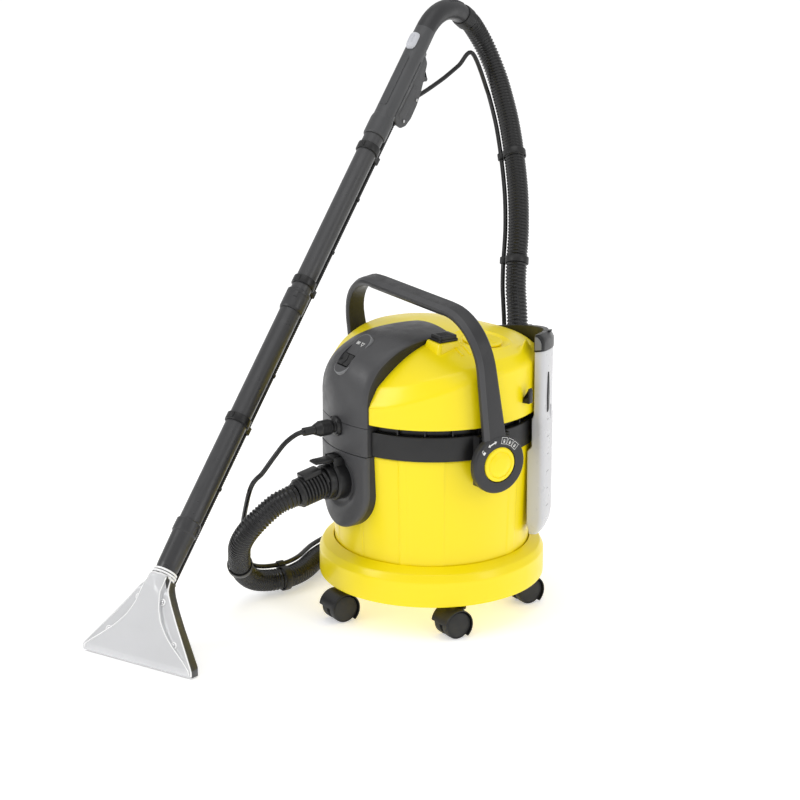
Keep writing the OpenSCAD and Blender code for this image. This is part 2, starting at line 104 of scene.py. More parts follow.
def material(name, color, rough=0.4, grain=0.0, grain_mm=0.6, tint=0.05, coat=0.0, wear=0.0,
             metal=0.0, trans=0.0, ior=1.46, spread=0.08, streak=0.0):
    """A surface with colour drift, a fine grain, a soft waviness and worn edges."""
    mat = bpy.data.materials.new(name)
    mat.use_nodes = True
    nt = mat.node_tree
    N, L = nt.nodes, nt.links
    b = N["Principled BSDF"]
    coord = N.new("ShaderNodeTexCoord")

    def noise(scale, detail=4, stretch=None):
        n = N.new("ShaderNodeTexNoise")
        n.inputs["Scale"].default_value = scale
        n.inputs["Detail"].default_value = detail
        src = coord.outputs["Object"]
        if stretch:
            mp = N.new("ShaderNodeMapping")
            mp.inputs["Scale"].default_value = stretch
            L.new(src, mp.inputs["Vector"])
            src = mp.outputs["Vector"]
        L.new(src, n.inputs["Vector"])
        return n

    def span(src, lo, hi):
        r = N.new("ShaderNodeMapRange")
        r.inputs["To Min"].default_value = lo
        r.inputs["To Max"].default_value = hi
        r.inputs["From Min"].default_value = 0.3
        r.inputs["From Max"].default_value = 0.7
        L.new(src, r.inputs["Value"])
        return r.outputs["Result"]

    mix = N.new("ShaderNodeMix")
    mix.data_type = "RGBA"
    dark = [c * (1 - tint) for c in color]
    light = [min(c * (1 + tint), 1) for c in color]
    mix.inputs["A"].default_value = (*dark, 1)
    mix.inputs["B"].default_value = (*light, 1)
    L.new(span(noise(9, 5).outputs["Fac"], 0, 1), mix.inputs["Factor"])
    out = mix.outputs["Result"]
    if wear:
        geo = N.new("ShaderNodeNewGeometry")
        ramp = N.new("ShaderNodeMapRange")
        ramp.inputs["From Min"].default_value = 0.53
        ramp.inputs["From Max"].default_value = 0.66
        ramp.inputs["To Max"].default_value = wear
        L.new(geo.outputs["Pointiness"], ramp.inputs["Value"])
        edge = N.new("ShaderNodeMix")
        edge.data_type = "RGBA"
        edge.inputs["B"].default_value = (*[min(1, c * 2.2 + 0.05) for c in color], 1)
        L.new(ramp.outputs["Result"], edge.inputs["Factor"])
        L.new(out, edge.inputs["A"])
        out = edge.outputs["Result"]
    L.new(out, b.inputs["Base Color"])
    L.new(span(noise(55, 6).outputs["Fac"], max(rough - spread, 0.02), rough + spread), b.inputs["Roughness"])
    bump = N.new("ShaderNodeBump")
    bump.inputs["Strength"].default_value = max(grain, 0.03)
    bump.inputs["Distance"].default_value = 0.0002
    fine = noise(1000 / grain_mm, 3, (1, 1, streak) if streak else None)
    L.new(fine.outputs["Fac"], bump.inputs["Height"])
    wave = N.new("ShaderNodeBump")
    wave.inputs["Strength"].default_value = 0.12
    wave.inputs["Distance"].default_value = 0.0012
    L.new(noise(22, 1).outputs["Fac"], wave.inputs["Height"])
    L.new(bump.outputs["Normal"], wave.inputs["Normal"])
    L.new(wave.outputs["Normal"], b.inputs["Normal"])
    b.inputs["Metallic"].default_value = metal
    b.inputs["IOR"].default_value = ior
    b.inputs["Coat Weight"].default_value = coat
    b.inputs["Coat Roughness"].default_value = 0.12
    b.inputs["Transmission Weight"].default_value = trans
    return mat


MAT = {
    "yellow_shell": material("yellow", (1.0, 0.8, 0.0), 0.34, 0.03, 0.8, 0.006, coat=0.15, spread=0.03),
    "dark_housing": material("housing", (0.058, 0.058, 0.061), 0.4, 0.35, 0.35, 0.06, wear=0.25),
    "housing_side": material("housing_side", (0.016, 0.016, 0.017), 0.38, 0.3, 0.35, 0.1),
    "handle_dark": material("handle_dark", (0.026, 0.026, 0.028), 0.4, 0.35, 0.35, 0.08, wear=0.3),
    "black_trim": material("black", (0.009, 0.009, 0.0095), 0.36, 0.2, 0.4, 0.15, wear=0.25),
    "tank_clear": material("tank", (0.6, 0.6, 0.615), 0.32, 0.0, 1.2, 0.02),
    "nozzle_clear": material("clear", (0.86, 0.865, 0.88), 0.1, 0.01, 1.5, 0.02, trans=0.35, ior=1.4, coat=0.3),
    # opaque pure white for the clear plastic's rims and rings: a painted highlight in place of the light glinting
    # on them
    "clear_highlight_white": material("clear_highlight_white", (1.0, 1.0, 1.0), 0.15, 0.03, 1.5, 0.0, trans=0.05, coat=0.5),
    "hose_black": material("hose", (0.008, 0.008, 0.0085), 0.26, 0.12, 0.5, 0.15, wear=0.15),
    "caster_black": material("caster", (0.012, 0.012, 0.0125), 0.42, 0.35, 0.4, 0.12, wear=0.3),
    "wheel_tread": material("tread", (0.02, 0.02, 0.02), 0.6, 0.4, 0.5, 0.15),
    "wand_dark": material("wand", (0.036, 0.036, 0.038), 0.33, 0.22, 0.4, 0.07, wear=0.25),
    "grip_grey": material("grip", (0.062, 0.063, 0.066), 0.4, 0.3, 0.4, 0.07, wear=0.3),
    "light_grey": material("light", (0.55, 0.56, 0.6), 0.4, 0.2, 0.4, 0.04),
    "mid_grey": material("mid", (0.2, 0.203, 0.208), 0.4, 0.3, 0.4, 0.05),
    "steel": material("steel_metal", (0.6, 0.6, 0.61), 0.3, 0.3, 0.3, 0.08, metal=1, streak=0.05),
    "pump_grey": material("pump_body", (0.35, 0.36, 0.37), 0.5, 0.3, 0.5, 0.08),
    "float_orange": material("float_body", (0.8, 0.28, 0.03), 0.4, 0.2, 0.5, 0.06),
    "cage_white": material("white_part", (0.8, 0.8, 0.78), 0.4, 0.15, 0.5, 0.03),
    "seal_rubber": material("seal", (0.14, 0.14, 0.14), 0.7, 0.4, 0.4, 0.1),
}
SLOTS = {s["node"]: s["material_slot"] for s in frame["record"]["subparts"]}
for node, obj in frame["nodes"].items():
    obj.data.materials.clear()
    obj.data.materials.append(MAT[SLOTS[node]])

# ---------- shapes ----------

def soft(poly, radius, k=4):
    """A closed outline with its corners rounded: radius is one number, or one per corner."""
    out = []
    n = len(poly)
    for i in range(n):
        p, b, q = Vector(poly[i - 1]), Vector(poly[i]), Vector(poly[(i + 1) % n])
        r = radius[i] if isinstance(radius, (list, tuple)) else radius
        u, v = (p - b), (q - b)
        if r <= 0 or u.length < 1e-6 or v.length < 1e-6:
            out.append(tuple(b))
            continue
        cosang = max(-1, min(1, u.normalized().dot(v.normalized())))
        half = acos(cosang) / 2
        if half > RAD(88):
            out.append(tuple(b))
            continue
        t = min(r / tan(half), u.length * 0.49, v.length * 0.49)
        s, e = b + u.normalized() * t, b + v.normalized() * t
        for j in range(k + 1):
            f = j / k
            out.append(tuple((1 - f) ** 2 * s + 2 * f * (1 - f) * b + f * f * e))
    return out


def disc(r, k=32):
    return [(r * cos(tau * i / k), r * sin(tau * i / k)) for i in range(k)]


def stadium(r, y0, y1, k=12):
    up = [(r * cos(pi * i / k), y1 + r * sin(pi * i / k)) for i in range(k + 1)]
    return up + [(-r * cos(pi * i / k), y0 - r * sin(pi * i / k)) for i in range(k + 1)]


def loops(rows, closed=True, ends=True, wrap=False):
    """Faces of a stack of rows of points."""
    n = len(rows[0])
    verts = [v for r in rows for v in r]
    faces, tag = [], []
    count = len(rows) - (0 if wrap else 1)
    for i in range(count):
        j = (i + 1) % len(rows)
        for k in range(n if closed else n - 1):
            e = (k + 1) % n
            faces.append((i * n + k, i * n + e, j * n + e, j * n + k))
            tag.append((i, k))
    if ends and not wrap:
        faces.append(tuple(range(n - 1, -1, -1)))
        faces.append(tuple(range((len(rows) - 1) * n, len(rows) * n)))
        tag += [(-1, 0), (-1, 1)]
    return verts, faces, tag


def lathe(profile, n=96, a0=0.0, a1=360.0, push=None):
    """Turns a closed outline of (r, z) about Z. push(angle, r, z) gives the moved (r, z)."""
    full = abs(a1 - a0 - 360) < 1e-6
    rows = []
    for i in range(n if full else n + 1):
        ang = a0 + (a1 - a0) * i / n
        c, s = cos(RAD(ang)), sin(RAD(ang))
        row = []
        for r, z in profile:
            if push:
                r, z = push(ang, r, z)
            row.append((r * c, r * s, z))
        rows.append(row)
    return loops(rows, True, not full, full)


def prism(poly, z0, z1, edge=0.0, k=3, low=None):
    """A straight solid on a closed outline, with rounded edges of radius edge at its top (and foot)."""
    low = edge if low is None else low
    n = len(poly)
    area = sum(poly[i][0] * poly[(i + 1) % n][1] - poly[(i + 1) % n][0] * poly[i][1] for i in range(n))
    if area < 0:
        poly = poly[::-1]
    nor = []
    for i in range(n):
        d = (Vector(poly[(i + 1) % n]) - Vector(poly[i - 1])).normalized()
        nor.append(Vector((-d[1], d[0])))

    def ring(off, z):
        return [(poly[i][0] + nor[i][0] * off, poly[i][1] + nor[i][1] * off, z) for i in range(n)]
    rows = []
    if low:
        rows += [ring(low * (1 - sin(f)), z0 + low * (1 - cos(f)))
                 for f in [pi / 2 * i / k for i in range(k)]]
    rows.append(ring(0, z0 + low))
    if edge:
        rows.append(ring(0, z1 - edge))
        rows += [ring(edge * (1 - cos(f)), z1 - edge * (1 - sin(f)))
                 for f in [pi / 2 * (i + 1) / k for i in range(k)]]
    else:
        rows.append(ring(0, z1))
    return loops(rows)


def block(x0, x1, y0, y1, z0, z1, r=2.0, edge=1.0):
    """A box with upright edges of radius r and rims of radius edge."""
    return prism(soft([(x0, y0), (x1, y0), (x1, y1), (x0, y1)], r, 3), z0, z1, edge)


def hoop(r0, r1, z0, z1, r, n, k=2, a0=0.0, a1=360.0):
    """A ring of rectangular section with corners of radius r."""
    return lathe(soft([(r0, z0), (r1, z0), (r1, z1), (r0, z1)], r, k), n, a0, a1)


def merge(*parts):
    verts, faces, tag = [], [], []
    for v, f, t in parts:
        o = len(verts)
        verts += list(v)
        faces += [tuple(i + o for i in q) for q in f]
        tag += t
    return verts, faces, tag


def moved(part, origin, rot=None):
    v, f, t = part
    rot = rot or Matrix.Identity(3)
    return [tuple(Vector(origin) + rot @ Vector(p)) for p in v], f, t


def add(name, data):
    """A new object in the scene."""
    obj = bpy.data.objects.new(name, data)
    bpy.context.collection.objects.link(obj)
    return obj


def crease(bm, deg):
    """Edges that turn by more than deg are sharp."""
    for e in bm.edges:
        if len(e.link_faces) == 2:
            e.smooth = e.calc_face_angle(0) < RAD(deg)


def make(name, part, place, mat, body, rep="", bevel=0.0, sharp=38, paint=None, mats=()):
    """One visual piece. place takes its points to metres, body carries it, and rep is the node it replaces."""
    verts, faces, tag = part
    me = bpy.data.meshes.new(name)
    me.from_pydata([place(v) for v in verts], [], faces)
    for one in (mat, *mats):
        me.materials.append(MAT[one])
    if paint:
        for poly, t in zip(me.polygons, tag):
            poly.material_index = paint(t, poly)
    bm = bmesh.new()
    bm.from_mesh(me)
    bmesh.ops.remove_doubles(bm, verts=bm.verts, dist=2e-6)
    bmesh.ops.dissolve_degenerate(bm, dist=1e-7, edges=bm.edges)
    bmesh.ops.recalc_face_normals(bm, faces=bm.faces)
    for f in bm.faces:
        f.smooth = True
    crease(bm, sharp)
    bm.to_mesh(me)
    bm.free()
    obj = add(name, me)
    if bevel:
        mod = obj.modifiers.new("bevel", "BEVEL")
        mod.width = bevel / 1000
        mod.segments = 2
        mod.limit_method = "ANGLE"
        mod.angle_limit = RAD(35)
        mod.harden_normals = True
    if body:
        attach(obj, body)
    if rep:
        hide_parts(rep)
    return obj


def cut(obj, part, place):
    """Cuts a closed shape out of a piece, for good."""
    verts, faces, _ = part
    me = bpy.data.meshes.new("cutter")
    me.from_pydata([place(v) for v in verts], [], faces)
    bm = bmesh.new()
    bm.from_mesh(me)
    bmesh.ops.recalc_face_normals(bm, faces=bm.faces)
    bm.to_mesh(me)
    bm.free()
    tool = add("cutter", me)
    mod = obj.modifiers.new("cut", "BOOLEAN")
    mod.object = tool
    mod.operation = "DIFFERENCE"
    mod.solver = "EXACT"
    dg = bpy.context.evaluated_depsgraph_get()
    new = bpy.data.meshes.new_from_object(obj.evaluated_get(dg))
    obj.modifiers.remove(mod)
    obj.data = new
    bpy.data.objects.remove(tool)
    for e in new.edges:
        e.use_edge_sharp = False
    bm = bmesh.new()
    bm.from_mesh(new)
    crease(bm, 32)
    bm.to_mesh(new)
    bm.free()


# ---------- camera ----------

AZ, EL, DIST = RAD(57), RAD(17.08), 4.063
TARGET = Vector((0.0839, 0.0752, 0.3523))
BACK = Vector((sin(AZ) * cos(EL), -cos(AZ) * cos(EL), sin(EL)))
cam = add("camera", bpy.data.cameras.new("camera"))
cam.data.lens = 109.4
cam.data.sensor_width = 36
cam.location = TARGET + BACK * DIST
cam.rotation_euler = BACK.to_track_quat("Z", "Y").to_euler()
bpy.context.scene.camera = cam

# ---------- hoses ----------

ROUTE = [
    (0, -268.2, 235), (0, -282, 232.1), (-5, -302, 223), (-13, -328, 201), (-27, -343, 177),
    (-49, -344, 149), (-80, -329, 118), (-112, -310, 86), (-140, -284, 55), (-157, -256, 34),
    (-162, -227, 25), (-160, -198, 24), (-166, -170, 24), (-182, -140, 24), (-212, -101, 24),
    (-237, -52, 24), (-247, -8, 24), (-254, 68, 24), (-250, 140, 27), (-240, 184, 40),
    (-226, 222, 68), (-208, 256, 114), (-190, 280, 182), (-176, 292, 262), (-170, 297, 345),
    (-174, 299, 412), (-189, 306, 462), (-206, 319, 507), (-228, 338, 555), (-263, 361, 614),
    (-306, 382, 676), (-347, 398, 731), (-383, 406, 780), (-400, 407, 806), (-412, 404, 829),
    (-420, 398, 850), (-424, 389, 869), (-425, 378, 886), (-421.8, 364.8, 900.8), (-416.8, 353.4, 907.9)]
HOSE_D, SPRAY_D = 38, 8
FIRST_CLIP, LAST_CLIP = 12, 64
CLIPS = (14, 22, 46, 54, 60)


def spline(p, k):
    out, n = [], len(p) - 1
    for i in range(n):
        q = [Vector(p[max(i - 1, 0)]), Vector(p[i]), Vector(p[i + 1]), Vector(p[min(i + 2, n)])]
        for j in range(k):
            t = j / k
            out.append(0.5 * (2 * q[1] + (q[2] - q[0]) * t + (2 * q[0] - 5 * q[1] + 4 * q[2] - q[3]) * t * t
                              + (3 * q[1] - 3 * q[2] + q[3] - q[0]) * t ** 3))
    return out + [Vector(p[-1])]


def even(p, step):
    """The same path with its points step apart."""
    out, left = [p[0].copy()], step
    for s, e in zip(p, p[1:]):
        d = (e - s).length
        at = left
        while at <= d:
            out.append(s.lerp(e, at / d))
            at += step
        left = at - d
    if (out[-1] - p[-1]).length > step * 0.4:
        out.append(p[-1].copy())
    else:
        out[-1] = p[-1].copy()
    return out


def frames(p):
    """Heading and a carried normal at each point."""
    out, n = [], Vector((1, 0, 0))
    for i in range(len(p)):
        t = (p[min(i + 1, len(p) - 1)] - p[max(i - 1, 0)]).normalized()
        n = (n - n.dot(t) * t).normalized()
        out.append((t, n.copy()))
    return out


def pipe(p, radius, sides=16):
    rows = []
    for i, (q, (t, n)) in enumerate(zip(p, frames(p))):
        b = t.cross(n)
        r = radius(i) if callable(radius) else radius
        rows.append([tuple(q + r * (cos(tau * s / sides) * n + sin(tau * s / sides) * b))
                     for s in range(sides)])
    return loops(rows)


hose_path = spline(ROUTE, 2)
hose_frames = frames(hose_path)
hose_fine = even(spline(ROUTE, 16), 1.0)
WAVE = (0, 0.55, 1, 1, 0.55, 0)
hose_mesh = pipe(hose_fine, lambda i: 17.0 + 1.9 * WAVE[i % 6], 24)
suction_hose = make("suction_hose_ribbed", hose_mesh, m, "hose_black", None, "suction_hose", sharp=80)

SIDE = HOSE_D / 2 + SPRAY_D / 2 + 1.5
along_side = [p - SIDE * n for p, (t, n) in zip(hose_path, hose_frames)]
COUPLING_END, VALVE_END = Vector((0, -250, 340)), (-342.1, 185.5, 792.1)
gap = (along_side[FIRST_CLIP - 1] - along_side[FIRST_CLIP]).normalized() * 1.6
lower_path = spline([COUPLING_END, (0, -264, 338), (-2, -284, 326), (-5, -302, 306), (-12, -320, 280),
                     (-24, -338, 250), along_side[FIRST_CLIP] + gap], 8)
upper_path = spline(along_side[FIRST_CLIP:LAST_CLIP + 1], 4)[:-1] + spline(
    [along_side[LAST_CLIP], (-398, 352, 850), (-390, 316, 832), (-376, 276, 816), (-364, 240, 804),
     (-354, 214, 797), (-345.5, 193.3, 792.5), VALVE_END], 8)
spray_lower = make("spray_hose_front", pipe(lower_path, SPRAY_D / 2, 16), m, "hose_black", None, "spray_hose_lower",
                   sharp=80)
spray_upper = make("spray_hose_rear", pipe(upper_path, SPRAY_D / 2, 14), m, "hose_black", None, "spray_hose_upper",
                   sharp=80)
rings = []
for i in CLIPS:
    t, n = hose_frames[i]
    rot = Matrix((n, t.cross(n), t)).transposed()
    rings.append(moved(hoop(19.3, 21.6, -6, 6, 0.8, 40), hose_path[i], rot))
    rings.append(moved(hoop(4.2, 6.6, -6, 6, 0.7, 20), hose_path[i] - SIDE * n, rot))
    rings.append(moved(block(-22.5, -18.5, -4, 4, -5.5, 5.5, 1, 0.8), hose_path[i], rot))
hose_clips = make("hose_clip_rings", merge(*rings), m, "black_trim", None, "hose_clips")
low, high = m((-176, 292, 250)), m((-176, 292, 860))
for piece in (suction_hose, spray_upper, hose_clips):
    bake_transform(piece)
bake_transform(spray_lower)

# ---------- container and chassis ----------

DRUM_LOW_R, DRUM_HIGH_R, DRUM_LOW_Z, DRUM_HIGH_Z = 162, 171, 70, 300


def drum_r(z):
    return DRUM_LOW_R + (DRUM_HIGH_R - DRUM_LOW_R) * (z - DRUM_LOW_Z) / (DRUM_HIGH_Z - DRUM_LOW_Z)


def near_front(ang):
    """Angle from the front (-Y), 0 to 180."""
    return abs((ang + 90 + 180) % 360 - 180)


def ease(v, lo, hi):
    t = max(0, min(1, (v - lo) / (hi - lo)))
    return t * t * (3 - 2 * t)


def drum_push(ang, r, z):
    f = near_front(ang)
    if r < drum_r(z) - 1.2 or z < 100:
        return r, z
    lift = 1.7 * (ease(f, 37.6, 38.2) - ease(f, 42.2, 42.9) * 0.45) - 0.95 * ease(f, 63.0, 63.7)
    step = ease(f, 67.2, 67.8)
    groove = 0.9 * (ease(f, 12.4, 12.8) - ease(f, 13.2, 13.6)) * (1 - ease(z, 170, 180))
    side = ease(f, 104.6, 105.2) * 1.2 - ease(f, 112, 112.6) * 1.2
    fade = ease(z, 100, 116)
    return r + (lift * (1 - step) + side - groove) * fade, z


drum = [(148, 65), (150, 65), (159.5, 67.5), (163, 77)]
drum += [(drum_r(z), z) for z in (90, 105, 118, 130, 150, 165, 172, 180, 200, 230, 260, 285)]
drum += [(drum_r(296), 296), (170.4, 299.4), (169.6, 300), (168.4, 299.6), (167.6, 296), (160, 90), (157, 76), (147,
        69)]
wall = lathe(drum, 720, push=drum_push)
floor_disc = prism(disc(149, 96), 65, 69)
make("container_drum", merge(wall, floor_disc), m, "yellow_shell", "root", "container", sharp=50)


def ring_push(ang, r, z):
    f = near_front(ang)
    if r > 181 and 50 < z < 100:
        e = hypot((f - 106) * 3.3, (z - 72) * 0.9)
        r -= 0.9 * (1 - ease(e, 17, 19)) * ease(z, 60, 64)
    return r, z


CASTERS, CASTER_CIRCLE, TRAIL, WHEEL_R = 5, 170, 14, 23


def caster_spot(i):
    t = RAD(360 / CASTERS * i)
    return CASTER_CIRCLE * sin(t), -CASTER_CIRCLE * cos(t)


ring = soft([(149, 60), (182, 60), (184.2, 55), (190, 55), (190.2, 76), (190, 98), (184, 109.5),
             (drum_r(116) + 4.5, 117.6), (drum_r(118) + 2.2, 118.6), (drum_r(116) + 1.2, 116), (180, 106),
             (185.5, 96), (185.5, 66), (149, 65)],
            [0.5, 1, 1, 2.2, 30, 7, 6, 2.0, 1.0, 1.0, 5, 5, 1, 0.5], 5)
sockets = [moved(prism(disc(9.2, 32), 51, 60.2, 0.0, low=0.8), (*caster_spot(i), 0))
           for i in range(CASTERS)]
webs = [moved(block(-1.5, 1.5, -181, -150, 57, 60.5, 0.5, 0.5), (0, 0, 0), rot_z(18 * i + 9))
        for i in range(20)]
make("chassis_ring_shell", merge(lathe(ring, 240, push=ring_push), *sockets, *webs), m, "yellow_shell", "root",
     "chassis_ring", sharp=60)

# ---------- casters ----------

for i in range(CASTERS):
    x, y = caster_spot(i)
    axle = turned(m, (x, y - TRAIL, WHEEL_R), rot_y(90))
    arc = soft([(24.7, -22), (26.6, -22.4), (27, -19), (27, 19), (26.6, 22.4), (24.7, 22)], 1.2, 3)
    cover = lathe(arc, 44, 40, 262)
    web = hoop(5, 25.5, -2.6, 2.6, 0.5, 40, 2, 60, 250)
    hub = hoop(3.1, 7.5, -3, 3, 0.4, 32)
    make(f"caster_hood_shell_{i + 1}", merge(cover, web, hub), axle, "caster_black", f"caster_{i + 1}",
         f"caster_hood_{i + 1}", sharp=45)
    neck = lathe(soft([(0.01, 59), (0.01, 45), (11.5, 45), (11.5, 48.4), (5, 50.4), (5, 59)], [0, 0, 1.5, 1.5, 1,
            1], 3), 40)
    make(f"caster_stem_{i + 1}", neck, turned(m, (x, y, 0)), "caster_black", f"caster_{i + 1}")
    parts = []
    for s in (-1, 1):
        prof = [(0.01, 4), (0.01, 20.6), (6, 20.5), (13, 20.0), (19.5, 18.8), (20.4, 18.5), (20.9, 19.4), (21.8,
                19.3),
                (22.8, 17.6), (23, 15), (23, 7), (22.3, 4.6), (20.5, 4)]
        parts.append(lathe([(r, s * z) for r, z in prof], 64))
    parts.append(lathe([(0.01, -20), (3, -20), (3, 20), (0.01, 20)], 24))
    make(f"caster_wheel_pair_{i + 1}", merge(*parts), axle, "wheel_tread", f"caster_{i + 1}_wheels",
         f"caster_wheels_{i + 1}", sharp=35)

# ---------- inlet ----------

FACE_R, HALF = 187, 68


def u_reach(phi, cz=INLET_Z, low=234.0, top=299.4):
    """How far the outline of the inlet housing is from the inlet's middle, at an angle from +X."""
    c, s = cos(phi), sin(phi)
    t = HALF / abs(c) if abs(c) > 1e-6 else 1e9
    if s > 0:
        t = min(t, (top - cz) / s)
    z = cz + t * s
    if z < low:
        bz = cz - low
        t = -bz * s + sqrt(max((bz * s) ** 2 - bz * bz + HALF * HALF, 0))
    return t


def face_y(x):
    return -sqrt(FACE_R ** 2 - x * x)


rows = []
angles = 144
corner = [atan2(52.4, 68), pi - atan2(52.4, 68)]
phis = sorted([tau * k / angles for k in range(angles)] + corner)
for phi in phis:
    c, s = cos(phi), sin(phi)
    reach = u_reach(phi)
    row = []
    for rr, kind in [(20.6, "deep"), (20.6, "dish"), (30, "dish"), (36, "dish"), (38, "ramp1"), (42, "ramp2"), (45,
            "ramp3"),
                     (46.5, "face")]:
        x, z = rr * c, INLET_Z + rr * s
        dip = {"deep": 30, "dish": 5.2, "ramp1": 5.0, "ramp2": 2.6, "ramp3": 0.6, "face": 0}[kind]
        row.append((x, face_y(x) + dip if kind != "deep" else -158, z))
    roll = 5.0
    top_flat = s > 0 and abs((INLET_Z + reach * s) - 299.4) < 0.01
    for f in (0.25, 0.5, 0.75):
        rr = 46.5 + (reach - roll - 46.5) * f if reach - roll > 46.5 else 46.5 + 0.2 * f
        row.append((rr * c, face_y(rr * c), INLET_Z + rr * s))
    for f in range(6):
        t = pi / 2 * f / 5
        if top_flat:
            rr, d = reach - 0.8 * (1 - sin(t)), 0.8 * (1 - cos(t))
        else:
            rr, d = reach - roll * (1 - sin(t)), roll * (1 - cos(t))
        rr = max(rr, 46.7 + 0.01 * f)
        row.append((rr * c, face_y(rr * c) + d, INLET_Z + rr * s))
    x, z = reach * c, INLET_Z + reach * s
    row.append((x, face_y(x) + 7.2, z))
    row.append((x, face_y(x) + 7.9, z))
    sx = x * 0.992
    row.append((sx, face_y(x) + 8.0, z))
    row.append((sx, -sqrt(max(drum_r(z) ** 2 - sx * sx, 1)) + 3, z))
    row.append((x * 0.5, -sqrt(drum_r(z) ** 2 - (x * 0.5) ** 2) + 4, INLET_Z + (z - INLET_Z) * 0.6))
    rows.append(row)
body = loops(rows, False, False, True)
EDGE_COL = 17
make("inlet_housing_face", body, m, "dark_housing", "root", "inlet_housing",
     paint=lambda t, p: 1 if t[1] >= EDGE_COL + 1 else 0, mats=["housing_side"], sharp=42)

inlet = turned(m, (0, 0, INLET_Z), rot_x(90))
collar = soft([(20.6, 168), (32.5, 176), (32.5, 198), (30.5, 202), (20.6, 202)], [0, 1, 2, 2.5, 1], 4)
make("inlet_collar", merge(lathe(collar, 96), moved(block(-8.5, 8.5, 30, 43.5, 180, 197.5, 2.5, 1.5), (0, 0, 0)),
                           moved(block(11.6, 15.4, 24, 43, 182, 201.5, 1, 0.8), (0, 0, 0)),
                           moved(block(-15.4, -11.6, 24, 43, 182, 201.5, 1, 0.8), (0, 0, 0))),
     inlet, "black_trim", "root")
cuff_flange = lathe(soft([(17, 202.3), (29, 202.3), (29, 213.8), (27, 214.6), (17, 214.6)], [0, 1, 1.5, 1, 0], 3),
                    96)
make("cuff_flange", cuff_flange, inlet, "black_trim", "root", "hose_cuff")
tilt = turned(m, (0, -212, INLET_Z), rot_x(102))
prof = [(16.5, 0), (23.2, 0)]
for k in range(8):
    z = 2.5 + k * 6.2
    prof += [(23.2, z), (24.6, z + 1.0), (24.6, z + 3.6), (22.6, z + 4.8)]
prof += [(21.8, 53), (20.6, 55.4), (16.5, 55.4)]
cuff = merge(lathe(prof, 72), hoop(22, 26.6, 1, 7, 1, 72, 3, 20, 160),
             block(-12.5, 12.5, 20, 30.5, 6, 40, 3, 2))
make("cuff_ribs", cuff, tilt, "black_trim", "root")
tab = [(-196, 283.6), (-194, 285.5), (-196, 288), (-203, 288.4), (-232, 287.2), (-234.5, 285), (-233, 282.6), (-206,
        281.4)]
tab_part = prism(soft(tab, 1.2, 3), -10.5, 10.5, 1.2)
ridges = [block(-9, 9, -230 + 3.2 * k, -228.4 + 3.2 * k, 286.6, 288.3, 0.6, 0.5) for k in range(5)]
bar = moved(hoop(2.2, 4.4, -10.8, 10.8, 0.5, 32), (0, -198, 285.5),
            rot_y(90))
make("latch_tab", merge(moved(tab_part, (0, 0, 0), SIDEWAYS), *ridges, bar), m, "black_trim", "cuff_latch",
     "cuff_latch")

# ---------- band ----------

band = soft([(168, 300.6), (176, 300.6), (176, 342.4), (168, 343)], [1, 2.2, 2.6, 1], 5)
shelf = [(162.5, 309), (168.5, 309), (168.5, 312), (162.5, 312)]
ribs = [moved(block(162, 172.8, -1.3, 1.3, 342, 354.9, 0.5, 0.3), (0, 0, 0), rot_z(15 * (i + 0.5)))
        for i in range(24)]
make("band", merge(lathe(band, 192), hoop(160, 163, 308, 355, 0.4, 128), lathe(shelf, 128), *ribs), m, "black_trim",
     "head", "band_ring")

# ---------- head ----------

def between(v, table):
    if v <= table[0][0]:
        return table[0][1]
    for (p, s), (q, e) in zip(table, table[1:]):
        if v <= q:
            t = (v - p) / (q - p)
            return s + (e - s) * t
    return table[-1][1]


def wall_top(y):
    return between(y, [(-181, 381), (-164, 387), (-110, 410), (-45, 435), (10, 444), (90, 442), (181, 434)])


def bevel_top(y):
    return between(y, [(-165, 408), (-147, 417), (-95, 436), (-35, 452), (0, 458), (60, 460), (100, 458), (165,
            448)])


def smooth3(y, f):
    return sum(f(y + d) for d in (-14, -7, 0, 7, 14)) / 5


HEAD_R, BEVEL_R, TOP_Z = 181, 165, 478


def head_z(x, y):
    """Height of the top face over a point."""
    r = hypot(x, y)
    ang = atan2(y, x) if r > 1e-6 else 0
    zb = smooth3(BEVEL_R * sin(ang), bevel_top)
    z = TOP_Z - (TOP_Z - zb) * (min(r, BEVEL_R) / BEVEL_R) ** 2.2
    d = hypot(x - 82, y - 44)
    z -= 5.0 * (1 - ease(d, 36, 46))
    z += 1.3 * (ease(d, 44, 47) - ease(d, 47, 52))
    z += 1.6 * (1 - ease(d, 10, 20))
    return z


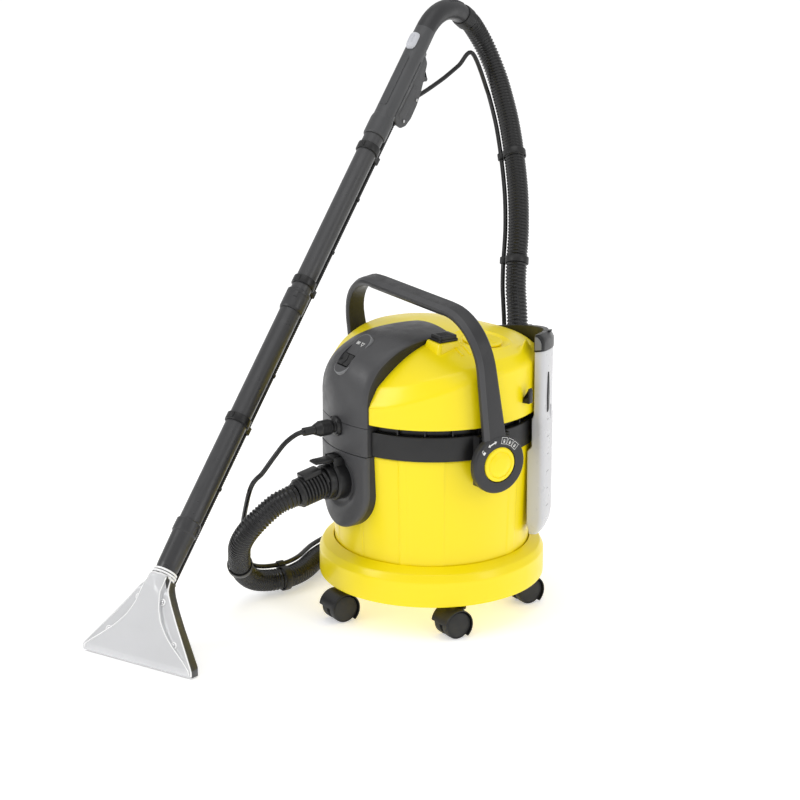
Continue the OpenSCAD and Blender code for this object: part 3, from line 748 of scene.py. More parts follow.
top_rows = []
COUNT = 288
for i in range(COUNT):
    ang = tau * i / COUNT
    c, s = cos(ang), sin(ang)
    deg = degrees(ang)
    horn = 15 * exp(-((deg - 36) / 5.5) ** 2)
    zw = smooth3(HEAD_R * s, wall_top)
    zb = smooth3(BEVEL_R * s, bevel_top)
    row = [(177.5 * c, 177.5 * s, 356), (180 * c, 180 * s, 355), (HEAD_R * c, HEAD_R * s, 356.2)]
    for f in (0.1, 0.3, 0.5, 0.7, 0.85, 0.93):
        row.append((HEAD_R * c, HEAD_R * s, 356 + (zw - 356) * f))
    for f in range(5):
        t = f / 4
        row.append(((HEAD_R - 1.6 * t) * c, (HEAD_R - 1.6 * t) * s, zw - 2.6 + 5 * t * (1 - 0.15 * t)))
    for f in (0.35, 0.6, 0.85):
        r = 179.4 - 14.4 * f
        row.append((r * c, r * s, zw + 1.7 + (zb - zw - 1.7) * f + horn * 0.5 * f * f))
    for r in (165, 163.5, 162, 160, 156, 152):
        row.append((r * c, r * s, head_z(r * c,
                                         r * s) - (0.5 if r == 165 else 0) + horn * exp(-((r - 163) / 5) ** 2)))
    r = 148
    while r > 1.5:
        row.append((r * c, r * s, head_z(r * c, r * s)))
        r -= 2.6
    row.append((0, 0, head_z(0, 0)))
    row.append((0, 0, head_z(0, 0) - 3.5))
    for r in (60, 120, 158):
        row.append((r * c, r * s, head_z(r * c, r * s) - 9 if r > 100 else head_z(0, 0) - 9))
    row.append((177.2 * c, 177.2 * s, zw - 6))
    top_rows.append(row)
shell_part = loops(top_rows, True, False, True)
pedestal = [(60, -50), (96, -50), (96, -9), (60, -9)]


def pedestal_part():
    v, f, t = prism(soft(pedestal, [1, 6, 6, 1], 5), 455, 479, 1.5)
    out = []
    for x, y, z in v:
        k = (479 - z) / 24
        out.append((x + (x - 78) * 0.35 * k, y + (y + 30) * 0.35 * k, z))
    return out, f, t


louvres = []
for k in range(3):
    cx, cy = 112 + k * 3.0, -22 + 13 * k
    zz = head_z(cx, cy)
    louvres.append(moved(block(-15, 15, -2.2, 2.2, -3, 1.6, 2, 1.2), (cx, cy, zz), rot_z(-10) @
                         rot_y(12)))
make("head_dome", merge(shell_part, pedestal_part(), *louvres), m, "yellow_shell", "head", "head_cover", sharp=28)
lid = lathe(soft([(0.01, 0), (0.01, 2.2), (30, 1.8), (33, 0.6), (33, -1.5)], [0, 0, 4, 2, 0], 4), 72)
zl = head_z(82, 44)
make("head_lid", merge(lid, *[moved(block(-24, 24, -1, 1, 1.2, 2.6, 0.8, 0.5), (0, 9 * k - 9,
                                                                                0)) for k in range(3)]),
     turned(m, (82, 44, zl), rot_y(5) @ rot_x(-3)), "yellow_shell", "head")

# ---------- front column ----------

CENTRE_LINE = [(-187, 349.6), (-187, 362), (-187, 375), (-187, 388), (-186.5, 404), (-185, 416), (-182, 429),
               (-176.5, 441.5),
               (-168, 453), (-158, 461.5), (-145, 469), (-130, 475), (-113, 479.5), (-95, 482.4), (-75, 484.2),
               (-55, 485.2), (-35, 485.6), (-15, 485.2), (2, 484)]
EDGE_LINE = [(-173, 349.6), (-173, 362), (-173, 375), (-173, 388), (-171, 404), (-168.2, 414), (-163.5, 424.5),
             (-156.5, 435),
             (-147, 445.5), (-137, 453), (-125, 460.3), (-111, 467), (-96, 472), (-80, 475.8), (-63, 478),
             (-45, 479.2), (-27, 479.6), (-10, 479.2), (2, 478.4)]
WIDTHS = [68, 68, 68, 68, 68, 67.8, 67.4, 66.8, 66, 65, 63.8, 62.2, 60.4, 58.6, 56.8, 55, 53.4, 52, 51]
ACROSS = 9


def column_loop(c, e, half, inward, depth, roll=2.6):
    """One closed section of the column: over the face, round its edges, down its sides and back underneath."""
    cv, ev, n = Vector((0, *c)), Vector((0, *e)), Vector((0, *inward))
    face = []
    for k in range(-ACROSS, ACROSS + 1):
        u = k / ACROSS * (1 - roll / half)
        p = cv + (ev - cv) * (abs(u) ** 2)
        face.append((half * u, p[1], p[2]))
    edge = []
    for k in range(1, 5):
        t = pi / 2 * k / 4
        p = ev + n * roll * (1 - cos(t))
        edge.append((half - roll * (1 - sin(t)), p[1], p[2]))
    side = [(half, *(ev + n * 7.5)[1:]), (half - 0.7, *(ev + n * 7.9)[1:]), (half - 0.7, *(ev + n * depth)[1:])]
    right = face[ACROSS:] + edge + side
    left = [(-x, y, z) for x, y, z in reversed(right[1:])]
    return left + right


def column(stations, depth):
    rows = []
    for i, (c, e, h) in enumerate(stations):
        p, q = stations[max(i - 1, 0)][1], stations[min(i + 1, len(stations) - 1)][1]
        d = Vector((q[0] - p[0], q[1] - p[1])).normalized()
        rows.append(column_loop(c, e, h, (d[1], -d[0]), depth))
    return loops(rows)


def fine_stations(lines, k=3):
    out = []
    cs = spline([(0, *p) for p in lines[0]], k)
    es = spline([(0, *p) for p in lines[1]], k)
    ws = spline([(v, 0, 0) for v in lines[2]], k)
    for c, e, v in zip(cs, es, ws):
        out.append(((c[1], c[2]), (e[1], e[2]), v[0]))
    return out


SIDE_START = 2


def side_paint(t, p):
    n = 2 * (ACROSS + 4 + 3) + 1
    k = t[1]
    return 1 if t[0] < 0 or k < SIDE_START + 1 or k >= n - SIDE_START - 2 else 0


panel_part = column(fine_stations((CENTRE_LINE, EDGE_LINE, WIDTHS)), 26)
panel = make("panel_cover", panel_part, m, "dark_housing", "head", "control_panel", paint=side_paint,
             mats=["housing_side", "mid_grey"], sharp=42)
straight = [((-187, z), (-173, z), 68) for z in (300.7, 302, 312, 325, 338, 347, 348.4)]
make("coupling_panel_face", column(straight, 26), m, "dark_housing", "head", "coupling_panel", paint=side_paint,
     mats=["housing_side"], sharp=42)
seam = [((-186.3, z), (-172.4, z), 67.4) for z in (348.2, 349.8)]
make("panel_seam", column(seam, 20), m, "housing_side", "head")

PANEL_ROT = rot_x(40)
bay = turned(m, (0, -163, 452.5), PANEL_ROT)
cut(panel, prism(stadium(17, -14, 32, 20), -3.4, 30, 0, low=3), bay)
cut(panel, prism(soft([(-15.4, -18.6), (15.4, -18.6), (15.4, 6.6), (-15.4, 6.6)], 2), -9, 30), bay)
rocker_hole = prism(soft([(-15.4, -18.6), (15.4, -18.6), (15.4, 6.6), (-15.4, 6.6)], 2), -20, 30)
for name, r, top, mat in (("switch_rim", 18.6, -0.7, "mid_grey"), ("switch_pad", 17.3, -0.1, "dark_housing")):
    oval = make(name, prism(stadium(r, -14, 32, 20), -10, top, 0.5), bay, mat, "head")
    cut(oval, rocker_hole, bay)
rocker_prof = [(-11, -2.5), (-10.6, 1.6), (0, -0.6), (10.4, 3.4), (11, -2.5)]
for s, name in ((-1, "vacuum_switch"), (1, "spray_switch")):
    key = prism(soft(rocker_prof, [1, 1.2, 6, 1.2, 1], 3), -6.7, 6.7, 0.9)
    key = moved(key, (0, 0, 0), SIDEWAYS)
    lines = [block(-5, 5, -9.4 + 2 * k, -8.4 + 2 * k, -0.4, 1.5 - 0.42 * k, 0.4, 0.3) for k in range(4)]
    make(name + "_key", merge(key, *lines), turned(m, (s * 7.5, -167.6, 448.64), PANEL_ROT), "black_trim",
         name, name)
marks = [moved(block(-4 + 2.2 * k, -2.8 + 2.2 * k, -3, 3, 0, 0.25, 0.3, 0.1), (-6, 30, 0)) for k in range(4)]
marks += [moved(lathe([(2.2, 0), (3.0, 0), (3.0, 0.25), (2.2, 0.25)], 24), (6.5, 30, 0))]
marks += [moved(block(-0.5, 0.5, -5, -2.4, 0, 0.25, 0.3, 0.1), (6.5, 30, 0), rot_z(120 * k))
          for k in range(3)]
make("panel_marks", merge(*marks), turned(m, (0, -163, 452.5), PANEL_ROT @ Matrix.Translation((0, 0,
        -3.3)).to_3x3()),
     "cage_white", "head")

coupling = turned(m, (0, 0, 340), rot_x(90))
sock = soft([(2.6, 178), (16.5, 178), (16.5, 190.5), (13.5, 193.5), (10.5, 194.5), (10.5, 197), (7, 198), (7,
        250.5),
             (4.2, 250.5), (4.2, 196), (2.6, 196)], [0, 0, 1.5, 1.5, 1, 0.5, 0.5, 0.6, 0, 0, 0], 3)
make("coupling_base", merge(lathe(sock, 64), *[moved(block(12.5, 17.6, -3, 3, 180, 192.5, 1, 0.8), (0, 0, 0),
     rot_z(90 * k + 45)) for k in range(4)]), coupling, "black_trim", "head", "coupling_socket")
sl = [(11, 200), (12.2, 200)]
for k in range(7):
    sl += [(12.2, 202.5 + 2.6 * k), (13.2, 203.2 + 2.6 * k), (13.2, 204.3 + 2.6 * k), (12.2, 205 + 2.6 * k)]
sl += [(12, 222), (9.5, 228), (8.6, 230), (7.1, 230), (7.1, 203), (11, 203)]
make("coupling_ring", lathe(sl, 64), coupling, "black_trim", "coupling_sleeve", "coupling_sleeve", sharp=30)
relief = [(4.1, 231), (7.6, 231)] + [(7.4 - 0.22 * k - (0.9 if k % 2 else 0),
                                      233 + 2.2 * k) for k in range(10)] + [(4.1, 255)]
make("spray_boot", lathe(relief, 40), coupling, "hose_black", "head", sharp=60)

block_part = merge(block(62, 94, -48, -11, 479.2, 483.4, 4, 1), prism(soft([(63.5, -46.5), (92.5, -46.5), (92.5,
        -12.5),
                   (63.5, -12.5)], 4), 482.8, 489.4, 2.4, 4, low=0.1),
                   *[block(70 + 4 * k, 71.6 + 4 * k, -40, -19, 489.0, 490.0, 0.6, 0.4) for k in range(5)])
make("top_catch", block_part, m, "black_trim", "head", "top_block", sharp=35)

# ---------- carry handle ----------

PIVOT = (0, -5, 297)
LEAN = RAD(8)


def bail(p):
    """Handle coordinates: x across, h up the handle, v its depth towards the back."""
    x, h, v = p
    return m((x, PIVOT[1] - h * sin(LEAN) + v * cos(LEAN), PIVOT[2] + h * cos(LEAN) + v * sin(LEAN)))


def arch_points():
    half, rise, r = 197, 245, 84
    pts = [(half, h) for h in (8, 30, 55, 80, 105, 130, rise - r)]
    pts += [(half - r + r * cos(RAD(t)), rise - r + r * sin(RAD(t))) for t in range(8, 90, 8)]
    pts += [(x, rise) for x in (half - r, 100, 70, 35)]
    return pts + [(0, rise)] + [(-x, h) for x, h in reversed(pts)]


arch = arch_points()
rows = []
for i, (x, h) in enumerate(arch):
    p, q = arch[max(i - 1, 0)], arch[min(i + 1, len(arch) - 1)]
    d = Vector((q[0] - p[0], q[1] - p[1])).normalized()
    out = Vector((d[1], -d[0]))
    top = min(1, max(0, (h - 20) / 160))
    wide = 22.5 - 5.5 * top + 1.0 * (abs(x) < 110)
    thick = 6.9
    sec = [(-thick, -wide + 2), (-thick, wide - 2), (-1.5, wide), (2.4, wide - 0.5), (thick, wide - 4.5),
           (thick + 0.1, -wide + 8.5), (3.2, -wide + 0.6), (-1.5, -wide)]
    ring = soft(sec, [2.4, 2.4, 1.5, 1.2, 1.5, 1.2, 1.2, 1.5], 3)
    rows.append([(x + out[0] * o, h + out[1] * o, v) for o, v in ring])
legs = loops(rows)
make("handle_bail", legs, bail, "handle_dark", "handle", "carry_handle", sharp=40,
     paint=lambda t, p: 1 if t[0] >= 0 and 20 <= t[1] <= 25 else 0, mats=["dark_housing"])
for s, side in ((-1, "left"), (1, "right")):
    boss = turned(m, (s * 189.4, PIVOT[1], PIVOT[2]), rot_y(90 * s))
    prof = soft([(14.1, 0), (46, 0), (49, 3), (49, 12.4), (46.6, 15.4), (30.2, 15.4), (30.2, 9), (14.1, 9)],
                [0.5, 1, 2, 2, 2, 0.8, 0.5, 0.5], 4)
    make(f"handle_boss_{side}", lathe(prof, 128), boss, "handle_dark", "handle")
    cap = soft([(0.01, 9.2), (28.9, 9.2), (28.9, 14.8), (26.8, 16.6), (22.6, 16.9), (21.4, 15.4), (19.4, 17.0), (12,
            19.0), (0.01, 19.6)],
               [0, 0.5, 1.6, 2, 0.8, 0.8, 1.5, 14, 0], 4)
    make(f"handle_button_{side}", lathe(cap, 96), boss, "yellow_shell", "handle", "handle_caps" if s > 0 else "",
         sharp=30)
    # white marks round the button: two arrows, a lock and three framed steps
    marks = []

    def mark(deg, r, part):
        t = RAD(deg)
        rot = Matrix.Rotation(t - RAD(90), 3, "Z")
        marks.append(moved(part, (r * cos(t), r * sin(t), 0), rot))

    up = 180 if s > 0 else 0
    for k in range(3):
        deg = up - s * (12 + 17 * k)
        mark(deg, 40, merge(block(-5.2, 5.2, -5.6, -4.9, 15.3, 15.6, 0.2, 0.1), block(-5.2, 5.2, 4.9, 5.6, 15.3,
                                                                                      15.6, 0.2, 0.1),
                            block(-5.4, -4.8, -5.4, 5.4, 15.3, 15.6, 0.2, 0.1), block(4.8, 5.4, -5.4, 5.4, 15.3,
                                                                                      15.6, 0.2, 0.1)))
        mark(deg, 39, block(-1.6, 1.6, -2.2, 1.4, 15.3, 15.6, 0.6, 0.1))
        mark(deg, 40.6, lathe([(1.0, 15.3), (1.7, 15.3), (1.7, 15.6), (1.0, 15.6)], 20))
    deg = up + s * 22
    mark(deg, 39.5, merge(block(-5.5, 5.5, -1.1, 1.1, 15.3, 15.6, 0.4, 0.1),
                          prism([(-9, 0), (-5, -3), (-5, 3)], 15.3, 15.6, 0.05), prism([(9, 0), (5, 3), (5, -3)],
                                                                                       15.3, 15.6, 0.05)))
    deg = up + s * 52
    mark(deg, 39, merge(block(-2.6, 2.6, -2.4, 1.8, 15.3, 15.6, 0.6, 0.1),
                        moved(lathe([(1.5, 15.3), (2.3, 15.3), (2.3, 15.6), (1.5, 15.6)], 24, 0, 250), (1.2, 3.4,
                                0))))
    make(f"handle_marks_{side}", merge(*marks), boss, "cage_white", "handle")

# ---------- fresh water tank ----------

def sector_loop(r_in, r_out, half, round_r, z):
    """A ring sector about +Y seen from above, its outer corners rounded, at height z, always of as many points."""
    a_out, a_in = degrees(round_r / r_out), degrees(2.0 / r_in)
    start, end = 90.0 - half, 90.0 + half

    def bend(*corner):
        p0, p1, p2 = [Vector(p) for p in corner]
        return [tuple((1 - f) ** 2 * p0 + 2 * f * (1 - f) * p1 + f * f * p2) for f in (k / 5 for k in range(1, 5))]

    pts = [polar(r_out, start + a_out + (2 * half - 2 * a_out) * k / 32) for k in range(33)]
    pts += bend(polar(r_out, end - a_out), polar(r_out, end), polar(r_out - round_r, end))
    pts += [polar(r_out - round_r, end), polar(r_in + 2, end)]
    pts += [polar(r_in, end - a_in - (2 * half - 2 * a_in) * k / 32) for k in range(33)]
    pts += [polar(r_in + 2, start), polar(r_out - round_r, start)]
    pts += bend(polar(r_out - round_r, start), polar(r_out, start), polar(r_out, start + a_out))
    return [(x, y, z) for x, y in pts]


def tank_at(z, inset=0.0):
    """Inner and outer radius and half angle of the tank at a height."""
    r_in = between(z, [(140, 175), (162, 173.4), (287, 173.4), (296, 180.9), (343, 180.9), (352, 184.9), (490,
            184.9)])
    r_out = between(z, [(140, 188), (147, 195), (160, 200.5), (172, 202), (335, 202), (345, 200.6), (490, 200.6)])
    half = between(z, [(140, 56), (160, 58.6), (330, 59.4), (350, 59.9), (490, 59.9)])
    return r_in + inset, r_out - inset, half - inset * 0.35


RIM_Z, RIM_TILT = 425, 12
RIM_SLOPE = tan(RAD(RIM_TILT))


def rim_at(x):
    return RIM_Z + RIM_SLOPE * x


def tank_rows(zs, inset=0.0, corner=9.0):
    return [sector_loop(*tank_at(z, inset), corner - inset, z) for z in zs]


def rim_row(inset, low, r_add=0.0, span=0.0, corner=9.0):
    """A loop that follows the sloped rim, low millimetres under it."""
    r_in, r_out, half = tank_at(440, inset)
    return [(x, y, rim_at(x) - low) for x, y, z in sector_loop(r_in, r_out + r_add, half + span, corner - inset, 0)]


def mixed(a_row, b_row, f):
    return [tuple(p * (1 - f) + q * f for p, q in zip(u, v)) for u, v in zip(a_row, b_row)]


heights = [142, 144, 147, 152, 160, 172, 200, 230, 260, 284, 287, 291, 296, 310, 335, 340, 345, 352, 370]
outside = tank_rows(heights)
top_out = rim_row(0, 0.2)
outside += [mixed(outside[-1], top_out, f) for f in (0.3, 0.6, 0.94)] + [top_out]
first = [(x * 0.995, y * 0.995, 140.2) for x, y, z in outside[0]]
inside = tank_rows([145.5] + heights[3:], 2.8)
inside += [mixed(inside[-1], rim_row(2.8, 3.2), f) for f in (0.5, 1.0)]
make("tank_body", merge(loops([first] + outside), loops(inside)), m, "tank_clear", "tank", "water_tank", sharp=35)
levels = []
for k in range(7):
    z = 190 + 30 * k
    for t in (RAD(38), RAD(142)):
        rot = Matrix.Rotation(t, 3, "Z") @ rot_y(90)
        r = tank_at(z)[1] + 0.02
        long = 6 if k % 2 == 0 else 3.5
        levels.append(moved(block(-0.4, 0.4, -long, long, -0.3, 0.2, 0.3, 0.1), (r * cos(t), r * sin(t), z), rot))
make("tank_level_marks", merge(*levels), m, "mid_grey", "tank")

# a dark pointed grip slot and a seam near each corner of the tank
for s, t in (("right", 37.5), ("left", 142.5)):
    rot = rot_z(t) @ rot_y(90) @ rot_z(90)
    leaf = soft([(-3, 0), (5.5, 4), (6.5, 30), (3.5, 62), (0.5, 70), (-2.5, 60), (-4.5, 30)], [2, 4, 20, 10, 0.6,
            10, 20], 5)
    make(f"tank_slot_{s}", moved(prism(leaf, -0.9, 1.2, 0.9), (*polar(201, t), 352), rot),
         m, "black_trim", "tank", sharp=35)
    seam = t + (6 if t < 90 else -6)
    rib_part = moved(block(-1.4, 1.4, -150, 40, -1.0, 1.2, 1.2, 0.9), (*polar(200.9, seam), 320),
                     rot_z(seam) @ rot_y(90) @ rot_z(90))
    make(f"tank_seam_{s}", rib_part, m, "tank_clear", "tank", sharp=50)

cap_rows = []
for low, inset, corner in ((-0.6, -1.0, 6), (-4, -1.2, 6), (-16, -1.0, 6), (-21, 1.2, 7), (-25, 4.2, 8), (-27.8,
        7.8, 9), (-29.2, 8.4, 9)):
    _, r_out, half = tank_at(440)
    ring = sector_loop(184.2, r_out - inset, half + 0.5 - max(inset, 0) * 0.12, corner if inset < 7 else 5, 0)
    cap_rows.append([(x, y, rim_at(x) - low) for x, y, z in ring])
make("tank_cap_cover", loops(cap_rows), m, "black_trim", "tank_cap", "tank_cap", sharp=35)
for s, deg in (("right", 29.5), ("left", 150.5)):
    rad = Vector((cos(RAD(deg)), sin(RAD(deg)), 0))
    rot = Matrix((rad, Vector((0, 0, 1)), rad.cross(Vector((0, 0, 1))))).transposed()
    foot = RIM_Z + RIM_SLOPE * rad[0] * 193
    panel_2d = soft([(186.6, foot + 2), (198.2, foot + 4), (198.2, foot + 14), (196, foot + 20), (191, foot + 24.5),
                     (186.6, foot + 24.5)],
                    [1, 1.5, 3, 4, 3, 1.5], 4)
    lo, hi = (-0.3, 0.6) if deg < 90 else (-0.6, 0.3)
    make(f"tank_cap_panel_{s}", moved(prism(panel_2d, lo, hi, 0.3), (0, 0, 0), rot), m, "mid_grey", "tank_cap")
cap_clips = []
for t in (50, 90, 130):
    rot = rot_z(t)
    x = 192 * cos(RAD(t))
    cap_clips.append(moved(block(-6.5, 6.5, -11, 11, 0, 3.0, 3, 1), (x, 192 * sin(RAD(t)), rim_at(x) + 26.2),
                           rot_y(-RIM_TILT) @ rot))
make("tank_cap_ribs", merge(*cap_clips), m, "black_trim", "tank_cap", sharp=40)

hook_dir = rot_z(22)
hook_2d = soft([(180.9, 380.2), (188, 380.2), (194.9, 380.2), (194.9, 400), (193.5, 405.8), (191.2, 405.8), (190.6,
        390), (180.9, 387.8)],
               [1, 3, 3, 2.5, 1, 1.2, 4, 1], 4)
hook = moved(prism(hook_2d, -5, 5, 1.2), (0, 0, 0), hook_dir @ rot_x(90))
make("cable_hook_shape", hook, m, "black_trim", "head", "cable_hook")

# ---------- nozzle ----------

FRONT = [(0.0, -11.0, 3.0), (0.07, -11.0, 14.0), (1.0, 48.9, 137.3)]
BACKP = [(0.0, 11.0, 0.5), (0.07, 11.0, 14.0), (1.0, 75.7, 113.3)]
OUTLINE = [(0, 110), (0.07, 110), (0.3, 84.5), (0.5, 62), (0.7, 41), (0.85, 27), (0.93, 21), (1.0, 18)]
CHANNEL = [(0, 1.0), (0.07, 0.985), (0.15, 0.93), (0.25, 0.82), (0.35, 0.7), (0.5, 0.57), (0.65, 0.52), (0.8, 0.6),
           (0.92, 0.8), (1, 0.97)]


def on(table, v):
    return between(v, [(t[0], t[1]) for t in table]), between(v, [(t[0], t[2]) for t in table])


def fan_point(v, x, lift):
    s, z = on(FRONT, v)
    lift -= ease(v, 0.8, 1.0) * (20 - sqrt(400 - min(abs(x), 19) ** 2))
    return (x, s - lift * 0.9, z + lift * 0.437)


def fan_lift(v):
    return 6.5 * ease(v, 0.05, 0.4) + 1.2 * ease(v, 0.0, 0.1)


def fan_front(thick):
    rows = []
    vs = [0, 0.035, 0.07, 0.09, 0.12] + [0.15 + 0.85 * k / 34 for k in range(35)]
    for v in vs:
        half = between(v, OUTLINE) - thick * 0.4
        ch = half * between(v, CHANNEL)
        raise_by = fan_lift(v)
        us = [0, 0.25, 0.5, 0.7, 0.83, 0.9, 0.94]
        row = []
        for u in us:
            row.append((u * ch, raise_by * (1 - 0.12 * u ** 4)))
        row += [(ch * 0.965, raise_by * 0.86), (ch * 0.985, raise_by * 0.5), (ch, raise_by * 0.1),
                (ch + (half - ch) * 0.12, 0)]
        row += [(ch + (half - ch) * f, 0) for f in (0.4, 0.7, 0.9)] + [(half - 0.4, 0), (half, -0.8)]
        full = [(-x, l) for x, l in reversed(row[1:])] + row
        rows.append([fan_point(v, x, l - thick) for x, l in full])
    return rows


front_out, front_in = fan_front(0), fan_front(2.4)
rows = [o + list(reversed(i)) for o, i in zip(front_out, front_in)]
make("nozzle_clear_cover", loops(rows), w, "nozzle_clear", "wand", "nozzle_cover", sharp=45)
# white strands along the clear cover's outer edges, channel edges and front lip: painted highlights of its rims
rim_highlight_strands = []


def strand(points, r, sides=8):
    return pipe([Vector(p) for p in points], r, sides)


for s in (-1, 1):
    rim_highlight_strands.append(strand([fan_point(v, s * between(v, OUTLINE),
                                        -0.3) for v in [0.02 + 0.98 * k / 24 for k in range(25)]], 1.3))
    pts = []
    for k in range(25):
        v = 0.03 + 0.95 * k / 24
        half = between(v, OUTLINE)
        pts.append(fan_point(v, s * half * between(v, CHANNEL) * 0.97, fan_lift(v) * 0.8 + 0.2))
    rim_highlight_strands.append(strand(pts, 1.0))
rim_highlight_strands.append(strand([fan_point(0.01, x, 0.3) for x in range(-110, 111, 10)], 1.7))
along_c = turned(w, (0, *COLLAR), rot_x(-45))
fan_collar = merge(*[hoop(17.6, r1, z0, z0 + 3.4, 0.8, 64)
    for z0, r1 in ((-3, 20.4), (2, 21.2), (7, 20.4))])
make("nozzle_rim_highlights", merge(*rim_highlight_strands), w, "clear_highlight_white", "wand", sharp=70)
# the clear collar rings are painted opaque white: painted highlight
make("nozzle_clear_collar", fan_collar, along_c, "clear_highlight_white", "wand", sharp=40)

rows = []
for k in range(30):
    v = k / 29
    half = between(v, OUTLINE) - 0.6
    sb, zb = on(BACKP, v)
    sf, zf = fan_point(v, 0, -3.0)[1:]
    if v < 0.06:
        zb, zf = max(zb, 0.5), max(zf, 2.0)
    outer_half = [(half - 2.6, sf, zf), (half, sf + (sb - sf) * 0.06, zf + (zb - zf) * 0.06),
           (half, sf + (sb - sf) * 0.8, zf + (zb - zf) * 0.8), (half - 1.6, sf + (sb - sf) * 0.95,
                                                                zf + (zb - zf) * 0.95),
           (half - 4.5, sb, zb), (half * 0.4, sb, zb)]
    inner_half = [(half * 0.4, sb - 2.1, zb + 1.4), (half - 5, sb - 2.1, zb + 1.4), (half - 2.6, sf + 1, zf)]
    loop = outer_half + [(-x, s, z) for x, s, z in reversed(outer_half)] + \
        [(-x, s, z) for x, s, z in reversed(inner_half)] + inner_half
    rows.append(loop)
make("nozzle_back_shell", loops(rows), w, "wand_dark", "wand", "nozzle_back", sharp=40)
liner = []
for k in range(24):
    v = 0.03 + 0.94 * k / 23
    half = (between(v, OUTLINE) - 4.2)
    sf, zf = fan_point(v, 0, -3.4)[1:]
    liner.append([(half, sf, zf), (half, sf + 1.0, zf - 0.5), (-half, sf + 1.0, zf - 0.5), (-half, sf, zf)])
# the liner strip is painted opaque white: painted highlight
make("nozzle_liner", loops(liner), w, "clear_highlight_white", "wand", sharp=40)

fan = turned(w, (0, 0, 0), Matrix.Rotation(-atan(COLLAR[0] / COLLAR[1]), 3, "X"))
screw_parts = []
for s in (-1, 1):
    for x, y, z in ((66, -16.9, 40), (24, -17.4, 102)):
        at = turned(Vector, (s * x, y, z), rot_x(90))
        head = lathe(soft([(0.01, -0.2), (3.6, -0.2), (3.6, 1.4), (2.6, 2.5), (0.8, 2.6), (0.7, 1.4), (0.01, 1.4)],
                          [0, 0.2, 0.8, 0.6, 0.2, 0.1, 0], 3), 28)
        bosses = lathe(soft([(3.9, -0.6), (6.2, -0.6), (5.8, 1.0), (3.9, 1.2)], 0.4, 2), 32)
        for part, kind in ((head, "s"), (bosses, "b")):
            v, f, t = part
            screw_parts.append((kind, ([tuple(at(p)) for p in v], f, t)))
make("nozzle_screw_heads", merge(*[p for k, p in screw_parts if k == "s"]), fan, "steel", "wand", "nozzle_screws")
# the rings round the screws are painted opaque white: painted highlight
make("nozzle_screw_rings", merge(*[p for k, p in screw_parts if k == "b"]), fan, "clear_highlight_white", "wand")

# ---------- wand ----------

neck = soft([(15, 10.5), (17.6, 10.5), (18.6, 20), (19.2, 60), (19.4, 78), (21.2, 80.5), (21.2, 100.5), (19.6, 103),
             (15, 103)],
            [0.2, 0.5, 8, 8, 2, 1.5, 1.2, 1, 0.2], 4)
spine = []
for k in range(16):
    v = k / 15
    s0, z0 = on(BACKP, 0.02 + 0.98 * v)
    half = 9 + 5 * (1 - v) ** 2
    deep = 3.0 + 5.5 * v * v
    spine.append([(half, s0 - 0.5, z0 + 0.3), (half - 1.5, s0 + deep * 0.84, z0 - deep * 0.54),
                  (-half + 1.5, s0 + deep * 0.84, z0 - deep * 0.54), (-half, s0 - 0.5, z0 + 0.3)])
make("neck_tube", lathe(neck, 72), a, "wand_dark", "wand", "nozzle_neck", sharp=35)
make("neck_spine", loops(spine), w, "wand_dark", "wand", bevel=1.2, sharp=50)
make("jet_nozzle", merge(
    moved(merge(lathe(soft([(0.01, 0), (7, 0), (7.4, 4), (7, 9), (5, 11), (4.6, 34), (0.01, 34)], [0, 1.5, 2, 1, 1,
            0.5, 0], 3), 40),
                block(-3, 3, 3, 15, 12, 20, 1, 1)), (0, 57.2, 67.4), rot_x(-33)),
    moved(lathe(soft([(0.01, -8), (4.7, -8), (4.7, 3.8), (0.01, 3.8)], [0, 1.5, 0.6, 0], 3), 32),
          (0, COLLAR[0] + Q * PIPE_DROP, COLLAR[1] - Q * PIPE_DROP), rot_x(-45))),
    w, "black_trim", "wand", "spray_jet")


def socket(z0, z1, r, bore, step=1.2):
    """A tube socket with a soft shoulder, a rim and one fine groove."""
    return lathe(soft([(bore, z0), (r - step, z0), (r, z0 + 3), (r, z1 - 9), (r - 0.5, z1 - 8.4), (r - 0.5,
            z1 - 7.4),
                       (r, z1 - 6.8), (r, z1 - 1.2), (r - 1, z1), (bore, z1)],
                      [0.1, 1, 1.5, 0.3, 0.2, 0.2, 0.3, 1, 0.8, 0.1], 3), 72)


def notch(z):
    return [moved(block(-3.2, 3.2, -1.2, 1.2, -5, 5, 1, 0.5), (r * sin(RAD(t)), -r * cos(RAD(t)), z),
                  rot_z(t)) for t, r in ((25, 21.0), (205, 21.0))]


make("lower_pipe", merge(lathe([(16, 103.2), (18.5, 103.2), (18.5, 509), (17.9, 510.5), (17.9, 512), (16, 512)],
                               72),
                         socket(510, 548, 21, 17.6), *notch(536)), a, "wand_dark", "wand", "lower_tube", sharp=35)
make("upper_pipe", lathe([(15.5, 514), (17.5, 514), (17.5, 870.6), (15.5, 870.6)], 72), a, "wand_dark", "wand",
     "upper_tube", sharp=35)
clips = []
for d, r in ((288, 18.5), (560, 17.5), (838, 17.5)):
    clips.append(hoop(r + 0.1, r + 3.1, d, d + 14, 1.1, 64, 3))
    clips.append(block(-5.2, 5.2, r + 1.5, 39, d, d + 14, 3, 1.2))
    clips.append(block(-2.6, 2.6, -r - 5, -r - 1, d + 2, d + 12, 1.5, 1))
make("pipe_clips", merge(*clips), a, "black_trim", "wand", "tube_clips")
rib = []
for k in range(463):
    rib.append((3.0 + (0.5 if k % 2 else 0), 4.2 + 2 * k))
make("spray_line", lathe([(0.01, 4.2)] + rib + [(0.01, 928.5)], 20), turned(a, (0, PIPE_DROP, 0)),
     "hose_black", "wand", "spray_pipe", sharp=25)
ties = []
for d in (180, 400, 650, 760):
    ties.append(moved(hoop(3.6, 4.8, d, d + 5, 0.5, 24), (0, PIPE_DROP, 0)))
make("spray_line_ties", merge(*ties), a, "black_trim", "wand")

